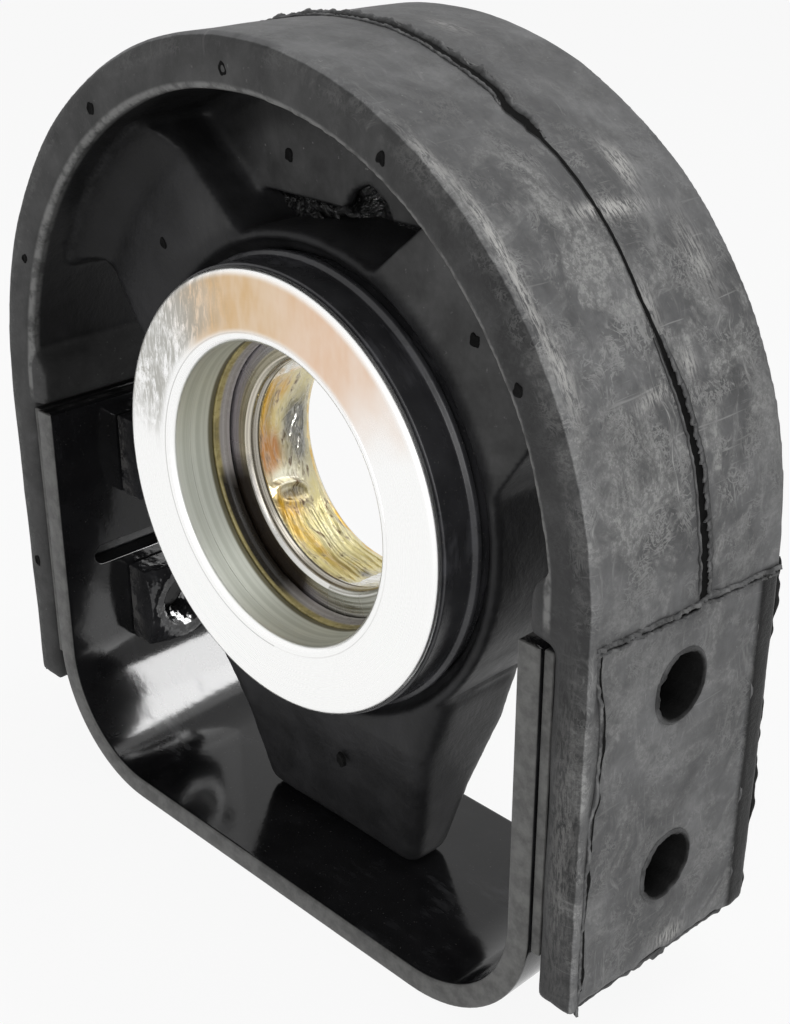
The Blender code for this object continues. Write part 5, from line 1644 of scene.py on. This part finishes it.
class GreaseMaker(bpy.types.Operator):
    """Lay the wrinkled amber grease in the inner ring's bore"""

    bl_idname = "centre_bearing.grease"
    bl_label = "Grease"

    def execute(self, context):
        looks = context.scene.ring_looks
        low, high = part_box("inner_ring")
        front, back = low.y + 0.0034, high.y - 0.0013

        def place(run, across):
            angle = 136.0 + 148.0 * run
            y = front + (back - front) * across
            rim = min(1.0, 9 * run, 9 * (1 - run)) * min(1.0, 7 * across, 7 * (1 - across))
            radius = 0.03012 - rim * (0.0002 + self.depth(angle, y))
            turn = math.radians(angle)
            return Vector((radius * math.cos(turn), y, AXIS_Z + radius * math.sin(turn)))
        shape = ribbon(84, 300, place)
        bmesh.ops.reverse_faces(shape, faces=shape.faces)
        piece = placed("bore_grease", shape, grease_finish(), body="inner", sharp=180.0)
        points = skin_arrays(piece.data)[0]
        angle = np.degrees(np.arctan2(points[:, 2] - AXIS_Z, points[:, 0])) % 360
        skin_attribute(piece.data, "tint", self.tint(angle, points[:, 1], looks), "FLOAT_VECTOR")
        depth = RACE_BORE - np.hypot(points[:, 0], points[:, 2] - AXIS_Z)
        skin_attribute(piece.data, "depth", np.clip(depth / 0.0012, 0, 1))
        return {"FINISHED"}

    def spot(self, angle, along, at_angle, at_y, wide_angle, wide_y):
        return np.exp(-((angle - at_angle) / wide_angle) ** 2 - ((along - at_y) / wide_y) ** 2)

    def depth(self, angle, y):
        """How thick the grease lies: a bead at the mouth, a fold, a wrinkled sheet and streaks."""
        lump = bumpy(angle * 0.055, y * 190, 3.0)
        total = 0.00018 + 0.00022 * max(0.0, 0.4 + lump)
        bead_y = -0.0046 + 0.0006 * bumpy(angle * 0.05, 0.0, 1.0)
        bead = ease(angle, 136, 148) * ease(angle, 206, 190)
        total += 0.0007 * bead * math.exp(-((y - bead_y) / 0.0006) ** 2)
        away = math.hypot((angle - 212 - 500 * (y - 0.0015)) / 5.5, (y - 0.0015) / 0.0052)
        upper = ease(angle, 213, 205)
        lumpy = 0.25 * bumpy(angle * 0.22, y * 260, 2.0)
        total += 0.0022 * math.exp(-((away - 1) / 0.30) ** 2) * (0.30 + 0.70 * upper + lumpy)
        sheet = float(self.spot(angle, y, 181, 0.0065, 22, 0.0045))
        folded = abs(bumpy(angle * 0.16 + y * 240, y * 520, 6.0))
        total += 0.0010 * sheet * (1 - 2.4 * folded) * (0.6 + lump)
        fan = ease(angle, 218, 232) * ease(angle, 284, 272)
        curve = y * 1000 + 0.055 * (angle - 225) + 1.3 * bumpy(angle * 0.05, y * 200, 2.0)
        total += 0.00020 * fan * (1 + math.sin(curve * 2.6)) + 0.00016 * fan * (1
                                                                                + math.sin(curve
                                                                                           * 5.7
                                                                                           + 1))
        return max(0.0, total)

    def tint(self, angle, along, looks):
        """The grease's colour at each point: pale straw, with amber, rust, grey and dark places, a
        painted highlight in pale yellow and painted shade in the fold.
        """
        amber = np.array(looks.grease)
        rough = np.array([0.5 + 0.9 * bumpy(a * 0.09, y * 330, 7.0) for a, y in zip(angle, along)])
        tint = np.ones((len(angle), 3)) * STRAW
        places = [
            ((160, -0.0040, 27, 0.0026), amber, 1.6), ((189, -0.0026, 12, 0.0036), RUST, 1.7),
            ((150, -0.0010, 9, 0.0034), amber, 1.4), ((163, -0.0022, 18, 0.0012), OLD_OIL, 1.0),
            # Painted highlight: the pale yellow spot at 204 degrees; painted shade: the dark spot
            # in the fold at 212.5 degrees.
            ((180, 0.0070, 24, 0.0052), GREY_FILM, 1.35), ((204, 0.0010, 6, 0.0050), CREAM_HIGHLIGHT, 1.5),
            ((212.5, 0.0018, 3.0, 0.0034), FOLD_SHADE, 2.0), ((220, 0.0000, 5, 0.0040), amber, 1.3),
            ((246, -0.0010, 18, 0.0014), amber, 1.0), ((217, -0.0036, 9, 0.0012), amber, 1.1),
            ((222, 0.0040, 7, 0.0020), BROWN, 0.9), ((232, -0.0030, 10, 0.0016), amber, 0.9),
            ((247, -0.0020, 16, 0.0011), DULL_GOLD, 0.8), ((262, 0.0000, 12, 0.0010), KHAKI, 0.8),
            ((276, 0.0012, 5, 0.0016), SOOT, 1.0), ((240, 0.0060, 20, 0.0042), PALE_STRAW, 0.9),
        ]
        for spot, colour, strength in places:
            share = self.spot(angle, along, *spot) * strength
            share = np.clip(share * (0.75 + 0.5 * rough), 0, 1)[:, None]
            tint = tint * (1 - share) + np.array(colour) * share
        return tint


# Stage


class StageMaker(bpy.types.Operator):
    """Set the pale floor, the soft lamps and the camera"""

    bl_idname = "centre_bearing.stage"
    bl_label = "Stage"

    def execute(self, context):
        looks = context.scene.stage_looks
        self.floor(looks)
        self.world()
        self.lamp("key_lamp", (0.22, 0.36, 0.90), 0.70, 0.70, looks.key)
        self.lamp("fill_lamp", (0.50, -0.78, 0.34), 0.60, 0.60, looks.fill)
        card = self.lamp("reflection_card", (0.32, 0.34, 0.46), 0.42, 0.80, looks.card)
        card.visible_diffuse = False
        nuts = [f"nut_{side}_{level}" for side in SIDES for level in BOLT_LEVELS]
        self.shine_on(card, "card_receivers", ["strap_bar", *nuts])
        glint = self.lamp("glint_lamp", (0.42, -0.62, 0.30), 0.05, 0.05, looks.glint)
        glint.visible_diffuse = False
        self.shine_on(glint, "glint_receivers", ["web_rags", "web_shreds", "bore_grease", *nuts])
        eye = bpy.data.cameras.new("photo_camera")
        eye.lens, eye.sensor_width, eye.sensor_fit = looks.lens, 36.0, "AUTO"
        eye.clip_start, eye.clip_end = 0.01, 20.0
        camera = bpy.data.objects.new("photo_camera", eye)
        camera.location = CAMERA_PLACE
        camera.rotation_euler = [math.radians(turn) for turn in CAMERA_TURN]
        context.scene.collection.objects.link(camera)
        context.scene.camera = camera
        context.scene.view_settings.view_transform = "Standard"
        return {"FINISHED"}

    def floor(self, looks):
        shape = bmesh.new()
        bmesh.ops.create_circle(shape, cap_ends=True, segments=64, radius=6.0)
        mesh = bpy.data.meshes.new("floor")
        shape.to_mesh(mesh)
        shape.free()
        surface = bpy.data.materials.new("pale_floor")
        surface.use_nodes = True
        w = Wiring(surface.node_tree)
        surface.node_tree.nodes.clear()
        tone = w.between(w.noise(w.object_place(), 3.0, 2.0), 0.3, 0.7)
        colour = w.blend(tone, tuple(c * 0.97 for c in looks.floor), looks.floor)
        matt = w.add("ShaderNodeBsdfDiffuse", {"Color": colour}).outputs[0]
        white = w.add("ShaderNodeEmission", {"Color": (1.0, 1.0, 1.0), "Strength": 1.0}).outputs[0]
        self.mixed(w, w.times(self.plainly_seen(w), FLOOR_GLOW), matt, white, "Material")
        mesh.materials.append(surface)
        piece = bpy.data.objects.new("floor", mesh)
        bpy.context.scene.collection.objects.link(piece)

    def plainly_seen(self, w):
        """1 for rays that see the backdrop itself: from the camera, off gloss or through glass."""
        path = w.add("ShaderNodeLightPath").outputs
        return w.most(path["Is Camera Ray"], w.most(path["Is Glossy Ray"],
                                                    path["Is Transmission Ray"]))

    def world(self):
        sky = bpy.data.worlds.new("studio")
        sky.use_nodes = True
        sky.node_tree.nodes.clear()
        w = Wiring(sky.node_tree)
        soft = w.add("ShaderNodeBackground", {"Color": (1.0, 1.0, 1.0),
                                              "Strength": SOFT_SKY}).outputs[0]
        white = w.add("ShaderNodeBackground", {"Color": (1.0, 1.0, 1.0),
                                               "Strength": 1.0}).outputs[0]
        self.mixed(w, self.plainly_seen(w), soft, white, "World")
        bpy.context.scene.world = sky

    def mixed(self, w, share, low, high, kind):
        """Lead a mix of two shaders to the tree's output."""
        mix = w.add("ShaderNodeMixShader")
        for socket, value in zip(mix.inputs, (share, low, high)):
            w.feed(socket, value)
        out = w.add(f"ShaderNodeOutput{kind}")
        w.feed(out.inputs[0], mix.outputs[0])

    def shine_on(self, lamp, name, pieces):
        """Let a lamp light only the named glossy pieces."""
        lit = bpy.data.collections.new(name)
        for piece in pieces:
            lit.objects.link(bpy.data.objects[piece])
        lamp.light_linking.receiver_collection = lit

    def lamp(self, name, place, wide, high, power):
        light = bpy.data.lights.new(name, "AREA")
        light.shape, light.size, light.size_y, light.energy = "RECTANGLE", wide, high, power
        lamp = bpy.data.objects.new(name, light)
        lamp.location = place
        aim = Vector((0.0, 0.0, 0.10)) - Vector(place)
        lamp.rotation_euler = aim.to_track_quat("-Z", "Y").to_euler()
        bpy.context.scene.collection.objects.link(lamp)
        return lamp


# Panel and main


MAKERS = (RubberMountMaker, TornFlashMaker, HoleRimMaker, TornWebMaker, MouldPipMaker, StrapMaker,
          SidePlateMaker, WeldNutMaker, SleeveMaker, FrontCoverMaker, RearCoverMaker, BearingMaker,
          GreaseMaker, StageMaker)


class CentreBearingPanel(bpy.types.Panel):
    """Lists the centre bearing's pieces and their sizes."""

    bl_idname = "VIEW3D_PT_centre_bearing"
    bl_label = "Centre Bearing"
    bl_space_type = "VIEW_3D"
    bl_region_type = "UI"
    bl_category = "Centre Bearing"

    def draw(self, context):
        for maker in MAKERS:
            self.layout.operator(maker.bl_idname, text=maker.bl_label)
        scene = context.scene
        for looks in (scene.rubber_looks, scene.flash_looks, scene.paint_looks, scene.ring_looks,
                      scene.stage_looks):
            box = self.layout.box()
            for name in looks.bl_rna.properties.keys():
                if name not in {"rna_type", "name"}:
                    box.prop(looks, name)


LOOKS = {"rubber_looks": RubberLooks, "flash_looks": FlashLooks, "paint_looks": PaintLooks,
         "ring_looks": RingLooks, "stage_looks": StageLooks}
CLASSES = (*LOOKS.values(), *MAKERS, CentreBearingPanel)


def register():
    for kind in CLASSES:
        bpy.utils.register_class(kind)
    for name, kind in LOOKS.items():
        setattr(bpy.types.Scene, name, PointerProperty(type=kind))


def unregister():
    for name in LOOKS:
        delattr(bpy.types.Scene, name)
    for kind in reversed(CLASSES):
        bpy.utils.unregister_class(kind)


def main():
    """Make every piece and the stage."""
    register()
    makers = bpy.ops.centre_bearing
    makers.rubber_mount()
    makers.torn_flash()
    makers.hole_rims()
    makers.torn_web()
    makers.mould_pips()
    makers.strap()
    makers.side_plates()
    makers.weld_nuts()
    makers.sleeve()
    makers.front_cover()
    makers.rear_cover()
    makers.bearing()
    makers.grease()
    makers.stage()


if __name__ == "__main__":
    main()
